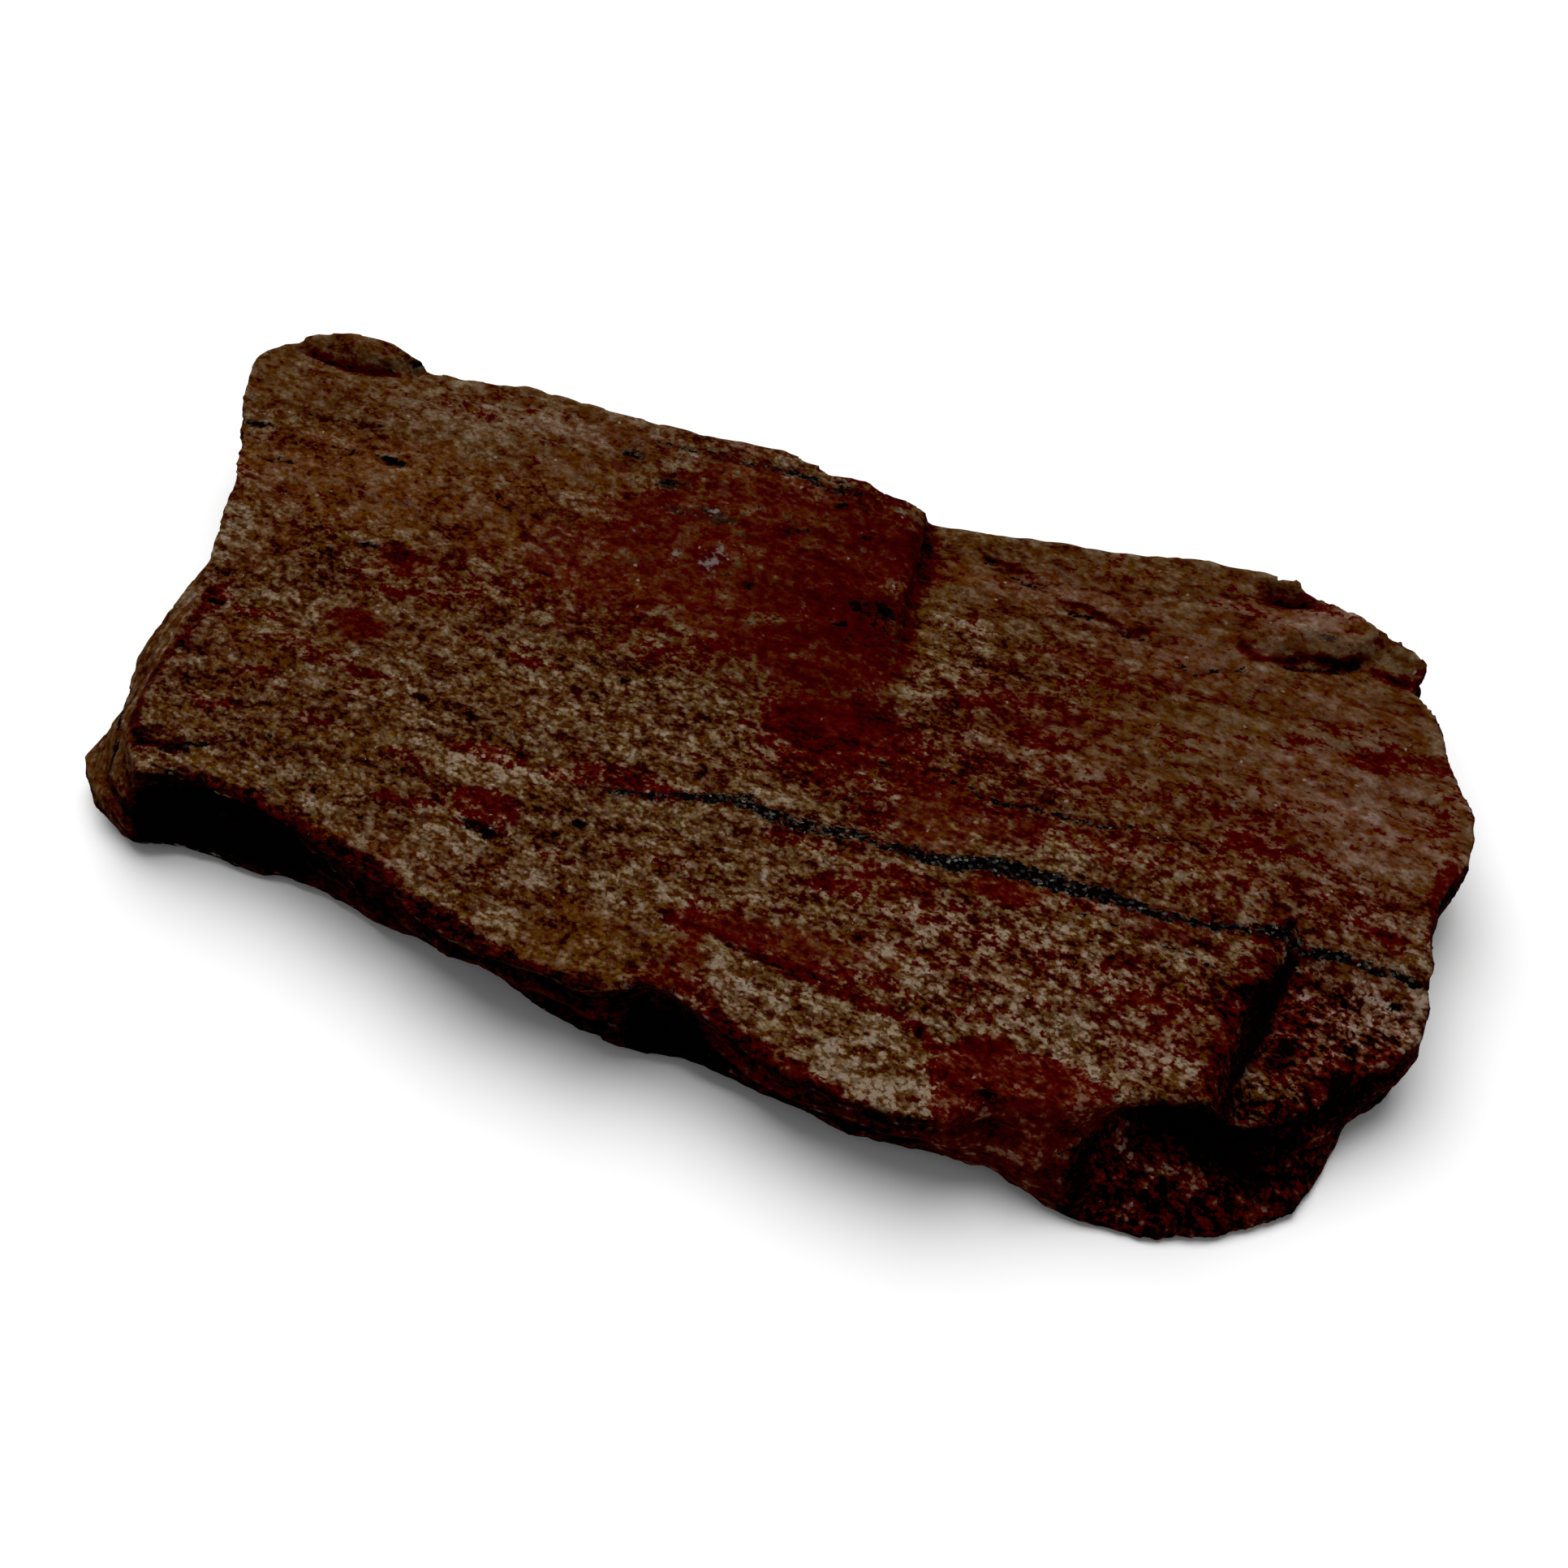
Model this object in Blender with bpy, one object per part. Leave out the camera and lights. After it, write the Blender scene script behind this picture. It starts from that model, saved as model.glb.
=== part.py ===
"""Red jasper: one flat, bedded slab of banded red stone, broken from its bed.

Metres, +Z up. The slab lies on its underside with its long way along X, and +Y is its back edge.
The origin is on the surface that it rests on, under the middle of its outline.
The design values are in millimetres.
"""

import math

import bmesh
import bpy
import numpy as np
from mathutils import Vector, noise
from mathutils.geometry import delaunay_2d_cdt

MM = 0.001

# Driving sizes of the slab
BED_HEIGHT = 8.0
BED_TILT = 0.008
BLOCK_RISE = 1.15
TERRACE_FALL = 0.95
TERRACE_END_FALL = 0.4

# Where those heights change: the block's rise and the terrace's fall along Y, the terrace's end and the
# gentle way down in front of the scarp along X
BLOCK_SLOPE = (-4.0, 24.0)
TERRACE_SLOPE = (1.0, 17.0)
TERRACE_END = (28.0, 50.0)
GENTLE_WAY = (-6.0, 22.0)

# How finely the stone is drawn
RIM_SPACING = 1.34
TOP_SPACING = 1.85
UNDER_SPACING = 3.4
LINE_SPACING = 1.4
CLEAR_OF_RIM = 0.95
CLEAR_OF_LINE = 0.9
CLEAR_OF_SOLE = 1.6
ROW_SHARE = 0.87
LOOSENESS = 0.2
PIT_RINGS = (0.65, 1.2)
PIT_SPOKES = 8
CLEAR_OF_PIT = 0.35
SEED = 11

# Over how many rim points the way out of the rim is measured, and how often it is eased
OUTWARD_SPAN = 4
OUTWARD_PASSES = 14

# The outline of the top surface, clockwise from the back left corner
RIM = (
    (-49.8, 18.9), (-49.3, 20.3), (-47.8, 21.5), (-47.2, 22.8), (-44.2, 23.8), (-40.6, 24.0),
    (-37.6, 23.6), (-36.0, 22.4), (-31.4, 22.7), (-27.6, 23.7), (-23.6, 23.5), (-19.6, 23.3),
    (-14.6, 23.6), (-9.6, 23.9), (-6.6, 24.2), (-2.6, 23.3), (0.4, 23.5), (2.2, 22.9),
    (4.2, 23.1), (7.8, 23.4), (11.8, 24.1), (15.8, 24.9), (19.8, 25.2), (24.8, 26.6),
    (27.8, 27.1), (32.6, 27.5), (34.8, 26.2), (37.8, 24.9), (39.8, 23.9), (42.4, 23.2),
    (43.6, 21.6), (43.0, 20.2), (44.8, 18.6), (46.4, 15.1), (47.8, 12.6), (49.4, 9.8), (49.9, 7.6),
    (49.6, 5.4), (48.9, 2.4), (48.6, -1.0), (49.1, -3.4), (49.8, -6.0), (49.9, -8.6),
    (48.6, -10.6), (46.4, -12.8), (44.6, -15.4), (43.0, -17.4), (41.0, -18.8), (38.8, -19.4),
    (36.0, -20.4), (33.6, -21.3), (31.4, -22.3), (28.4, -22.5), (26.2, -23.6), (24.6, -26.6),
    (21.6, -27.2), (18.0, -27.4), (14.0, -27.0), (11.0, -26.2), (8.0, -25.2), (5.4, -24.4),
    (3.2, -24.2), (2.0, -25.4), (0.2, -26.2), (-4.0, -26.0), (-7.4, -26.0), (-10.4, -25.5),
    (-13.8, -24.7), (-15.4, -23.6), (-18.6, -23.1), (-22.2, -21.9), (-26.2, -21.0), (-30.2, -20.7),
    (-33.4, -20.3), (-36.2, -20.9), (-38.2, -18.6), (-39.0, -15.6), (-39.5, -12.0), (-39.9, -8.4),
    (-40.7, -4.8), (-41.8, -2.4), (-43.3, 2.0), (-44.2, 5.2), (-45.7, 9.6), (-47.4, 12.4),
    (-48.6, 14.8), (-49.2, 16.8),
)

# The beds on the broken sides: top and bottom, as shares of the height from the bottom edge to the rim,
# and how far the bed's broken edge stands out from the run of the side
BEDS = (
    (1.00, 0.87, 0.0),
    (0.83, 0.70, -0.50),
    (0.67, 0.53, 0.28),
    (0.49, 0.37, -0.42),
    (0.33, 0.19, 0.38),
    (0.15, 0.05, -0.15),
)
BED_WANDERS = 0.05
SOLE_CHAMFER = 0.5

# Shapes of the sides by place: a rim point, how far the side stands out from the rim at each level,
# how strongly the beds are stepped, and how high the bottom edge is
SIDE_LEVELS = (1.0, 0.9, 0.7, 0.5, 0.3, 0.1, 0.0)
SIDES = (
    ("back left corner", (-47.2, 22.8), (0.2, 0.5, 0.4, -0.2, -0.9), 0.8, 0.7),
    ("back of the block", (-27.6, 23.7), (0.3, 0.9, 1.3, 1.2, 0.5), 1.2, 0.3),
    ("back of the block, middle", (-6.6, 24.2), (0.1, 0.3, 0.9, 1.0, 0.2), 1.1, 0.5),
    ("back under the scarp", (4.2, 23.1), (0.2, 0.8, 1.2, 0.6, -0.3), 1.0, 0.7),
    ("back of the terrace", (19.8, 25.2), (0.1, 0.1, -0.3, -0.9, -1.6), 1.2, 0.5),
    ("back right corner", (34.8, 26.2), (0.1, -0.2, -0.8, -1.6, -2.3), 1.1, 0.9),
    ("right end", (46.4, 15.1), (0.0, -0.2, -0.6, -1.3, -2.2), 1.2, 0.8),
    ("right end, middle", (48.9, 2.4), (0.0, -0.3, -0.5, -1.1, -1.7), 1.0, 0.4),
    ("low terrace corner", (49.8, -6.0), (0.1, 0.0, -0.4, -0.8, -1.4), 0.8, 0.4),
    ("low terrace front", (46.4, -12.8), (0.3, 0.7, 0.8, 0.8, 0.5), 0.7, 0.3),
    ("toe corner", (43.0, -17.4), (0.2, 0.5, 1.4, 2.9, 3.9), 0.6, 0.0),
    ("toe under the step", (38.8, -19.4), (-0.9, -1.9, -1.0, 2.7, 5.2), 0.4, 0.0),
    ("toe", (36.0, -20.4), (-1.0, -2.2, -1.5, 2.4, 5.3), 0.4, 0.0),
    ("toe, left end", (33.6, -21.3), (-0.5, -0.8, 0.4, 2.9, 4.6), 0.4, 0.0),
    ("red shoulder", (28.4, -22.5), (1.1, 2.5, 3.5, 3.8, 3.0), 0.5, 0.2),
    ("front, end of the lens", (24.6, -26.6), (-0.1, -0.2, -0.5, -1.2, -2.2), 0.9, 0.3),
    ("front, under the lens", (14.0, -27.0), (-0.2, -0.4, -0.6, -1.3, -2.3), 1.0, 0.3),
    ("front notch", (3.2, -24.2), (-0.5, -0.7, -0.2, 0.4, 0.5), 0.7, 0.1),
    ("front nub", (-1.4, -26.0), (-0.3, -0.6, -0.9, -1.5, -1.9), 1.0, 0.0),
    ("front hollow", (-8.6, -25.8), (-0.3, -0.7, -1.3, -2.4, -3.2), 0.9, 0.5),
    ("front, left part", (-18.6, -23.1), (-0.3, -0.5, -0.6, -0.9, -1.3), 0.9, 0.5),
    ("front left", (-27.0, -21.0), (-0.9, -1.7, -1.8, -0.9, 0.2), 0.5, 0.2),
    ("front left hollow", (-32.6, -20.4), (-1.0, -2.0, -2.2, -0.9, 0.7), 0.4, 0.2),
    ("front left corner", (-36.2, -20.9), (0.3, 0.8, 1.3, 1.7, 1.6), 0.5, 0.5),
    ("left lobe", (-38.9, -16.0), (0.9, 2.0, 3.4, 4.9, 5.2), 0.4, 0.5),
    ("cleft above the lobe", (-39.4, -12.8), (0.9, 2.1, 3.2, 3.8, 3.6), 0.3, 0.5),
    ("left slope", (-39.9, -8.4), (1.7, 3.4, 4.5, 4.7, 3.8), 0.3, 0.5),
    ("left slope, top", (-40.7, -4.8), (1.8, 3.0, 3.2, 2.8, 1.8), 0.4, 0.7),
    ("left slope, back end", (-42.2, -1.2), (0.1, 0.3, 0.3, 0.0, -0.6), 0.6, 0.8),
    ("left end", (-45.7, 9.6), (0.1, 0.2, 0.1, -0.4, -1.2), 0.8, 0.9),
)

# The scarp at the right end of the raised block: where its face begins and where it ends
SCARP_CREST = ((0.4, 23.5), (0.9, 19.6), (1.3, 15.4), (3.6, 12.0), (4.6, 8.0), (6.0, 4.6), (7.2, 2.2))
SCARP_FOOT = ((5.0, 23.1), (6.0, 21.2), (6.9, 18.1), (7.6, 13.9), (8.2, 9.8), (8.5, 6.4), (9.0, 3.0))
SCARP_SHELF = (0.30, 0.62)
SCARP_SHELF_DROP = 0.32
SCARP_FADES = (-1.5, 7.5)

# The step at the front right, down to the low terrace
STEP_CREST = ((39.3, -4.4), (39.7, -7.2), (38.9, -11.0), (38.5, -15.7), (38.8, -19.4))
STEP_FOOT = ((40.3, -4.6), (40.9, -7.0), (40.3, -10.6), (40.2, -14.4), (40.4, -19.0))
STEP_DROP = 1.9
STEP_FADES = (-3.6, -9.0)
STEP_LOSS = 0.5
STEP_END = (42.0, 50.0)
LOW_TERRACE_FALL = 0.6
LOW_TERRACE_SLOPE = (-10.0, -18.0)

# The lip along the crack at the back left: its crack, depth and width
LIP_CRACK = ((-47.0, 21.4), (-44.7, 20.9), (-42.4, 20.9), (-40.4, 21.3), (-38.4, 21.7), (-36.4, 22.4))
LIP_DEPTH = 0.9
LIP_RISE = 0.35
LIP_EDGE = (0.1, 0.9)
LIP_BEGINS = (-48.5, -46.5)
LIP_ENDS = (-37.0, -35.5)

# The flap at the back right, whose edge stands over a crack
FLAP_EDGE = ((31.4, 18.6), (33.6, 19.6), (35.8, 19.8), (37.9, 20.5), (39.8, 22.2), (41.2, 21.4), (43.0, 20.9))
FLAP_RISE = 0.85
FLAP_BANK = (-0.1, 0.7)
FLAP_BEGINS = (30.5, 34.5)
FLAP_REACH = 2.0
FLAP_EASES = 3.5
FLAP_CRACK_DEPTH = 0.6
FLAP_CRACK_GAP = 0.3
CRACK_WIDTH = 0.75

# Round or long hollows and swells of the top: middle, radii along X and Y, height
SWELLS = (
    (-28.0, -8.0, 17.0, 9.0, 0.35),
    (-20.0, 12.0, 18.0, 7.0, -0.25),
    (18.0, -13.0, 16.0, 6.0, 0.25),
    (8.0, -1.0, 7.0, 6.0, -0.35),
    (28.0, 9.0, 13.0, 8.0, 0.25),
    (-6.0, -20.0, 9.0, 5.0, -0.25),
    (29.0, -20.5, 5.5, 4.0, -0.55),
)

# Pits with a floor: middle, radii along X and Y, depth
PITS = (
    (32.6, 25.6, 2.1, 1.3, 1.3),
    (-37.4, 22.9, 1.3, 0.9, 0.9),
    (-39.6, -17.6, 0.9, 0.8, 0.5),
)

# Low ridges that follow the bedding, and the rougher break of the sides
STREAK_ANGLE = math.radians(4.5)
STREAK_LONG = 11.0
STREAK_WIDE = 3.2
STREAK_HEIGHT = 0.16
FINE_STREAK_LONG = 4.5
FINE_STREAK_WIDE = 2.4
FINE_STREAK_SHARE = 0.5
RIM_RAGGED = 0.28
RIM_WAVES = (0.5, 1.6)
SIDE_RAGGED = 0.42
SIDE_WAVES = (0.21, 0.62)
FINE_WAVE_SHARE = 0.6
BED_SHOWS = (0.5, 0.9)
BED_SHOWS_WAVES = 0.075
BED_LEDGE = 1.6
BED_WANDER_WAVES = 0.09

# The underside: flat facets that carry the slab, and the shallow hollows between and around them
MAIN_FACET = (
    (-27.0, -12.0), (-10.0, -14.5), (8.0, -14.0), (24.0, -13.0), (33.0, -6.0), (34.0, 6.0),
    (22.0, 13.0), (6.0, 14.5), (-12.0, 15.0), (-27.0, 13.0), (-34.0, 5.0), (-33.0, -5.0),
)
UNDER_RELIEF = 0.75
UNDER_RUN = 6.0
UNDER_WAVES = (0.16, 0.22)

# Finish of the stone
STONE_COLOUR = (0.060, 0.016, 0.006)
STONE_ROUGHNESS = 0.72
SMOOTH_UNDER = math.radians(32.0)


def clear_scene():
    """Empties the scene of objects."""
    for scene_object in list(bpy.data.objects):
        bpy.data.objects.remove(scene_object, do_unlink=True)


def smooth(low, high, value):
    """A soft step from 0 at low to 1 at high."""
    share = np.clip((value - low) / (high - low), 0.0, 1.0)
    return share * share * (3.0 - 2.0 * share)


def wobble(x, y, z=0.0):
    """Repeatable noise between about -1 and 1."""
    return noise.noise(Vector((x, y, z)))


def wobbles(ring, waves, level):
    """Noise at each point of a ring, at so many waves to the millimetre."""
    return np.array([wobble(x * waves, y * waves, level) for x, y in ring])


def subdivided(points, spacing):
    """The given points with evenly spaced ones between them, so that every corner stays."""
    line = np.array(points, float)
    spots = [line[0]]
    for start, end in zip(line[:-1], line[1:]):
        count = max(1, int(round(np.linalg.norm(end - start) / spacing)))
        spots.extend(start + (end - start) * step / count for step in range(1, count + 1))
    return np.array(spots)


def rounded(points, passes):
    """A closed line with its corners eased."""
    line = points.copy()
    for _ in range(passes):
        line = 0.25 * np.roll(line, 1, axis=0) + 0.5 * line + 0.25 * np.roll(line, -1, axis=0)
    return line


def outward_directions(ring):
    """Plan directions out of a clockwise ring, turned gently enough that offset rings do not cross."""
    along = np.roll(ring, -OUTWARD_SPAN, axis=0) - np.roll(ring, OUTWARD_SPAN, axis=0)
    out = rounded(np.stack([-along[:, 1], along[:, 0]], axis=1), OUTWARD_PASSES)
    return out / np.linalg.norm(out, axis=1, keepdims=True)


def draw_rim():
    """The rim as an even, slightly ragged ring."""
    ring = subdivided(RIM + RIM[:1], RIM_SPACING)[:-1]
    out = outward_directions(ring)
    coarse, fine = RIM_WAVES
    ragged = [
        0.5 * RIM_RAGGED * (wobble(x * coarse, y * coarse, 3.0) + wobble(x * fine, y * fine, 7.0))
        for x, y in ring
    ]
    return ring + out * np.array(ragged)[:, None]


def side_of_line(x, y, line):
    """Distance from each point to a line, with a plus sign on the line's left."""
    spot = np.stack([x, y], axis=1)
    best = np.full(len(spot), np.inf)
    sign = np.ones(len(spot))
    for start, end in zip(np.array(line[:-1], float), np.array(line[1:], float)):
        run = end - start
        share = np.clip(((spot - start) @ run) / (run @ run), 0.0, 1.0)
        gap = spot - (start + share[:, None] * run)
        distance = np.linalg.norm(gap, axis=1)
        closer = distance < best - 1e-9
        turn = run[0] * (spot[:, 1] - start[1]) - run[1] * (spot[:, 0] - start[0])
        best = np.where(closer, distance, best)
        sign = np.where(closer, np.sign(turn), sign)
    return best * sign


def across_step(x, y, crest, foot):
    """0 before the crest of a step, 1 past its foot, and the share of the way between them."""
    past_crest = side_of_line(x, y, crest)
    before_foot = -side_of_line(x, y, foot)
    share = past_crest / np.maximum(past_crest + before_foot, 1e-6)
    share = np.where(past_crest <= 0.0, 0.0, np.where(before_foot <= 0.0, 1.0, share))
    return np.clip(share, 0.0, 1.0)


def top_height(x, y):
    """Height of the top surface in millimetres."""
    x = np.asarray(x, float)
    y = np.asarray(y, float)
    height = BED_HEIGHT + BED_TILT * y
    block = BLOCK_RISE * smooth(*BLOCK_SLOPE, y)
    terrace = -TERRACE_FALL * smooth(*TERRACE_SLOPE, y) - TERRACE_END_FALL * smooth(*TERRACE_END, x)
    across = across_step(x, y, SCARP_CREST, SCARP_FOOT)
    over = SCARP_SHELF_DROP * smooth(0.0, SCARP_SHELF[0], across)
    over += (1.0 - SCARP_SHELF_DROP) * smooth(SCARP_SHELF[1], 1.0, across)
    fade = smooth(*SCARP_FADES, y)
    gentle = smooth(*GENTLE_WAY, x)
    share = over * fade + gentle * (1.0 - fade)
    height += block * (1.0 - share) + terrace * share
    down = across_step(x, y, STEP_CREST, STEP_FOOT) * smooth(*STEP_FADES, y)
    front_fall = LOW_TERRACE_FALL * smooth(*LOW_TERRACE_SLOPE, y)
    height -= down * (STEP_DROP - STEP_LOSS * smooth(*STEP_END, x) + front_fall)
    from_crack = side_of_line(x, y, LIP_CRACK)
    along_lip = smooth(*LIP_BEGINS, x) * (1.0 - smooth(*LIP_ENDS, x))
    height += along_lip * LIP_RISE * smooth(*LIP_EDGE, from_crack)
    height -= along_lip * LIP_DEPTH * np.exp(-(from_crack / CRACK_WIDTH) ** 2)
    from_flap = side_of_line(x, y, FLAP_EDGE)
    along_flap = smooth(*FLAP_BEGINS, x)
    behind = np.exp(-(np.maximum(from_flap - FLAP_REACH, 0.0) / FLAP_EASES) ** 2)
    height += along_flap * FLAP_RISE * smooth(*FLAP_BANK, from_flap) * behind
    from_gap = from_flap + FLAP_CRACK_GAP
    height -= along_flap * FLAP_CRACK_DEPTH * np.exp(-(from_gap / CRACK_WIDTH) ** 2)
    for middle_x, middle_y, radius_x, radius_y, rise in SWELLS:
        height += rise * np.exp(-(((x - middle_x) / radius_x) ** 2 + ((y - middle_y) / radius_y) ** 2))
    for middle_x, middle_y, radius_x, radius_y, depth in PITS:
        height -= depth * np.exp(-(((x - middle_x) / radius_x) ** 2 + ((y - middle_y) / radius_y) ** 2) ** 2)
    return height + streak_ridges(x, y)


def streak_ridges(x, y):
    """Low ridges and grooves that run along the bedding streaks."""
    along = x * math.cos(STREAK_ANGLE) + y * math.sin(STREAK_ANGLE)
    across = -x * math.sin(STREAK_ANGLE) + y * math.cos(STREAK_ANGLE)
    ridges = [
        wobble(a / STREAK_LONG, c / STREAK_WIDE, 1.5)
        + FINE_STREAK_SHARE * wobble(a / FINE_STREAK_LONG, c / FINE_STREAK_WIDE, 5.5)
        for a, c in zip(along, across)
    ]
    return STREAK_HEIGHT * np.array(ridges)


def side_values(ring):
    """Offsets of the beds, stepping and bottom height at each point of the rim."""
    steps = np.linalg.norm(np.roll(ring, -1, axis=0) - ring, axis=1)
    reach = np.concatenate([[0.0], np.cumsum(steps)])
    rows = []
    for _, place, offsets, stepping, lift in SIDES:
        nearest = int(np.argmin(np.linalg.norm(ring - np.array(place), axis=1)))
        rows.append((reach[nearest], *offsets, stepping, lift))
    rows = np.array(sorted(rows))
    total = reach[-1]
    return np.stack(
        [np.interp(reach[:-1], rows[:, 0], rows[:, column], period=total) for column in range(1, rows.shape[1])],
        axis=1,
    )


def draw_sides(ring, rim_height):
    """Rings of points from the rim down to the bottom edge, one pair to each bed."""
    out = outward_directions(ring)
    values = side_values(ring)
    stepping = values[:, 5]
    lift = values[:, 6]
    levels = [-level for level in SIDE_LEVELS]
    profile = np.column_stack([np.zeros(len(ring)), values[:, :5], values[:, 4]])
    rings = []
    for bed, (upper, lower, stands_out) in enumerate(BEDS):
        shown = BED_SHOWS[0] + BED_SHOWS[1] * wobbles(ring, BED_SHOWS_WAVES, 4.0 * bed)
        jag = wobbles(ring, SIDE_WAVES[0], 9.0 * bed)
        jag += FINE_WAVE_SHARE * wobbles(ring, SIDE_WAVES[1], 5.0 + bed)
        ledge = stepping * (stands_out * BED_LEDGE * np.clip(shown, 0.0, 1.0) + SIDE_RAGGED * jag)
        wander = BED_WANDERS * wobbles(ring, BED_WANDER_WAVES, 30.0 + 2.0 * bed)
        for share in (upper, lower):
            is_rim = share == 1.0
            shares = np.full(len(ring), share) + (0.0 if is_rim else wander)
            offset = np.array([np.interp(-at, levels, row) for at, row in zip(shares, profile)])
            offset += 0.0 if is_rim else ledge
            height = lift + shares * (rim_height - lift)
            rings.append(np.column_stack([ring + out * offset[:, None], height]))
    sole = rings[-1].copy()
    sole[:, :2] -= out * SOLE_CHAMFER
    sole[:, 2] = lift
    rings.append(sole)
    return rings


def inner_points(ring, spacing, keep_clear, lines, seed):
    """Loosely even points inside a ring, clear of the ring and of the given lines."""
    random = np.random.default_rng(seed)
    low = ring.min(axis=0)
    high = ring.max(axis=0)
    spots = []
    for row, y in enumerate(np.arange(low[1], high[1], spacing * ROW_SHARE)):
        for x in np.arange(low[0] + 0.5 * spacing * (row % 2), high[0], spacing):
            spots.append((x, y))
    spots = np.array(spots) + random.uniform(-LOOSENESS, LOOSENESS, (len(spots), 2)) * spacing
    closed = np.vstack([ring, ring[:1]])
    from_rim = side_of_line(spots[:, 0], spots[:, 1], closed)
    inside = winding_inside(spots, ring) & (np.abs(from_rim) > keep_clear)
    for line in lines:
        inside &= np.abs(side_of_line(spots[:, 0], spots[:, 1], line)) > CLEAR_OF_LINE
    return spots[inside]


def pit_points(ring):
    """The middle and two rings of points in each pit, where they are inside the rim."""
    spots = []
    for middle_x, middle_y, radius_x, radius_y, _ in PITS:
        spots.append((middle_x, middle_y))
        for reach in PIT_RINGS:
            for turn in range(PIT_SPOKES):
                angle = math.tau * turn / PIT_SPOKES
                spots.append((
                    middle_x + reach * radius_x * math.cos(angle),
                    middle_y + reach * radius_y * math.sin(angle),
                ))
    spots = np.array(spots)
    from_rim = np.abs(side_of_line(spots[:, 0], spots[:, 1], np.vstack([ring, ring[:1]])))
    return spots[winding_inside(spots, ring) & (from_rim > CLEAR_OF_PIT)]


def winding_inside(spots, ring):
    """True for each spot inside the ring."""
    inside = np.zeros(len(spots), bool)
    ahead = np.roll(ring, -1, axis=0)
    for (x0, y0), (x1, y1) in zip(ring, ahead):
        crosses = (y0 > spots[:, 1]) != (y1 > spots[:, 1])
        at = x0 + (spots[:, 1] - y0) * (x1 - x0) / (y1 - y0 if y1 != y0 else 1.0)
        inside ^= crosses & (spots[:, 0] < at)
    return inside


def fill_surface(mesh, ring_verts, ring, lines, loose, height_of, upward):
    """Fills a ring with triangles whose corners lie on the lines and loose points."""
    spots = [Vector(spot) for spot in ring]
    edges = [(index, (index + 1) % len(ring)) for index in range(len(ring))]
    for line in lines:
        start = len(spots)
        spots.extend(Vector(spot) for spot in line)
        edges.extend((index, index + 1) for index in range(start, len(spots) - 1))
    spots.extend(Vector(spot) for spot in loose)
    found, _, faces, origins, _, _ = delaunay_2d_cdt(spots, edges, [], 1, 1e-5)
    plan = np.array([tuple(spot) for spot in found])
    heights = height_of(plan[:, 0], plan[:, 1])
    verts = []
    for spot, height, origin in zip(found, heights, origins):
        on_ring = [index for index in origin if index < len(ring)]
        if on_ring:
            verts.append(ring_verts[on_ring[0]])
        else:
            verts.append(mesh.verts.new((spot.x * MM, spot.y * MM, height * MM)))
    for face in faces:
        corners = [verts[index] for index in face]
        turn = (corners[1].co - corners[0].co).cross(corners[2].co - corners[0].co).z
        mesh.faces.new(corners if (turn > 0.0) == upward else corners[::-1])


def inside_lines(lines, ring):
    """The parts of the lines that stay clear of the ring, drawn at an even spacing."""
    closed = np.vstack([ring, ring[:1]])
    kept = []
    for line in lines:
        spots = subdivided(line, LINE_SPACING)
        clear = winding_inside(spots, ring)
        clear &= np.abs(side_of_line(spots[:, 0], spots[:, 1], closed)) > 0.5 * CLEAR_OF_RIM
        run = []
        for spot, is_clear in zip(spots, clear):
            if is_clear:
                run.append(spot)
            elif len(run) > 1:
                kept.append(np.array(run))
                run = []
        if len(run) > 1:
            kept.append(np.array(run))
    return kept


def main_facet_line():
    """The closed edge of the flat facet under the slab."""
    return np.array(MAIN_FACET + MAIN_FACET[:1], float)


def make_slab():
    """The whole stone as one closed mesh."""
    ring = draw_rim()
    rim_height = top_height(ring[:, 0], ring[:, 1])
    rings = draw_sides(ring, rim_height)
    mesh = bmesh.new()
    rows = [[mesh.verts.new((x * MM, y * MM, z * MM)) for x, y, z in level] for level in rings]
    count = len(ring)
    for upper, lower in zip(rows[:-1], rows[1:]):
        for index in range(count):
            ahead = (index + 1) % count
            mesh.faces.new((upper[index], upper[ahead], lower[ahead], lower[index]))

    top_lines = inside_lines((SCARP_CREST, SCARP_FOOT, STEP_CREST, STEP_FOOT, LIP_CRACK, FLAP_EDGE), ring)
    top_loose = inner_points(ring, TOP_SPACING, CLEAR_OF_RIM, top_lines, SEED)
    top_loose = np.vstack([top_loose, pit_points(ring)])
    fill_surface(mesh, rows[0], ring, top_lines, top_loose, top_height, True)

    sole = rings[-1]
    sole_ring = sole[:, :2]
    facet = main_facet_line()

    def under_height(x, y):
        from_facet = side_of_line(x, y, facet)
        share = smooth(0.0, UNDER_RUN, np.maximum(-from_facet, 0.0))
        waves_x, waves_y = UNDER_WAVES
        flakes = np.array([0.5 + 0.5 * wobble(a * waves_x, b * waves_y, 20.0) for a, b in zip(x, y)])
        return UNDER_RELIEF * share * flakes

    under_loose = inner_points(sole_ring, UNDER_SPACING, CLEAR_OF_SOLE, [facet], SEED + 1)
    outside = ~winding_inside(under_loose, facet[:-1])
    fill_surface(mesh, rows[-1], sole_ring, [facet], under_loose[outside], under_height, False)

    bmesh.ops.triangulate(mesh, faces=mesh.faces[:], quad_method="SHORT_EDGE")
    bmesh.ops.recalc_face_normals(mesh, faces=mesh.faces[:])
    centre_on_origin(mesh)
    data = bpy.data.meshes.new("jasper_slab")
    mesh.to_mesh(data)
    mesh.free()
    return data


def centre_on_origin(mesh):
    """Moves the stone so that the middle of its outline is over the origin."""
    spots = np.array([tuple(vert.co) for vert in mesh.verts])
    middle = 0.5 * (spots.min(axis=0) + spots.max(axis=0))
    bmesh.ops.translate(mesh, verts=mesh.verts[:], vec=(-middle[0], -middle[1], 0.0))


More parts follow.
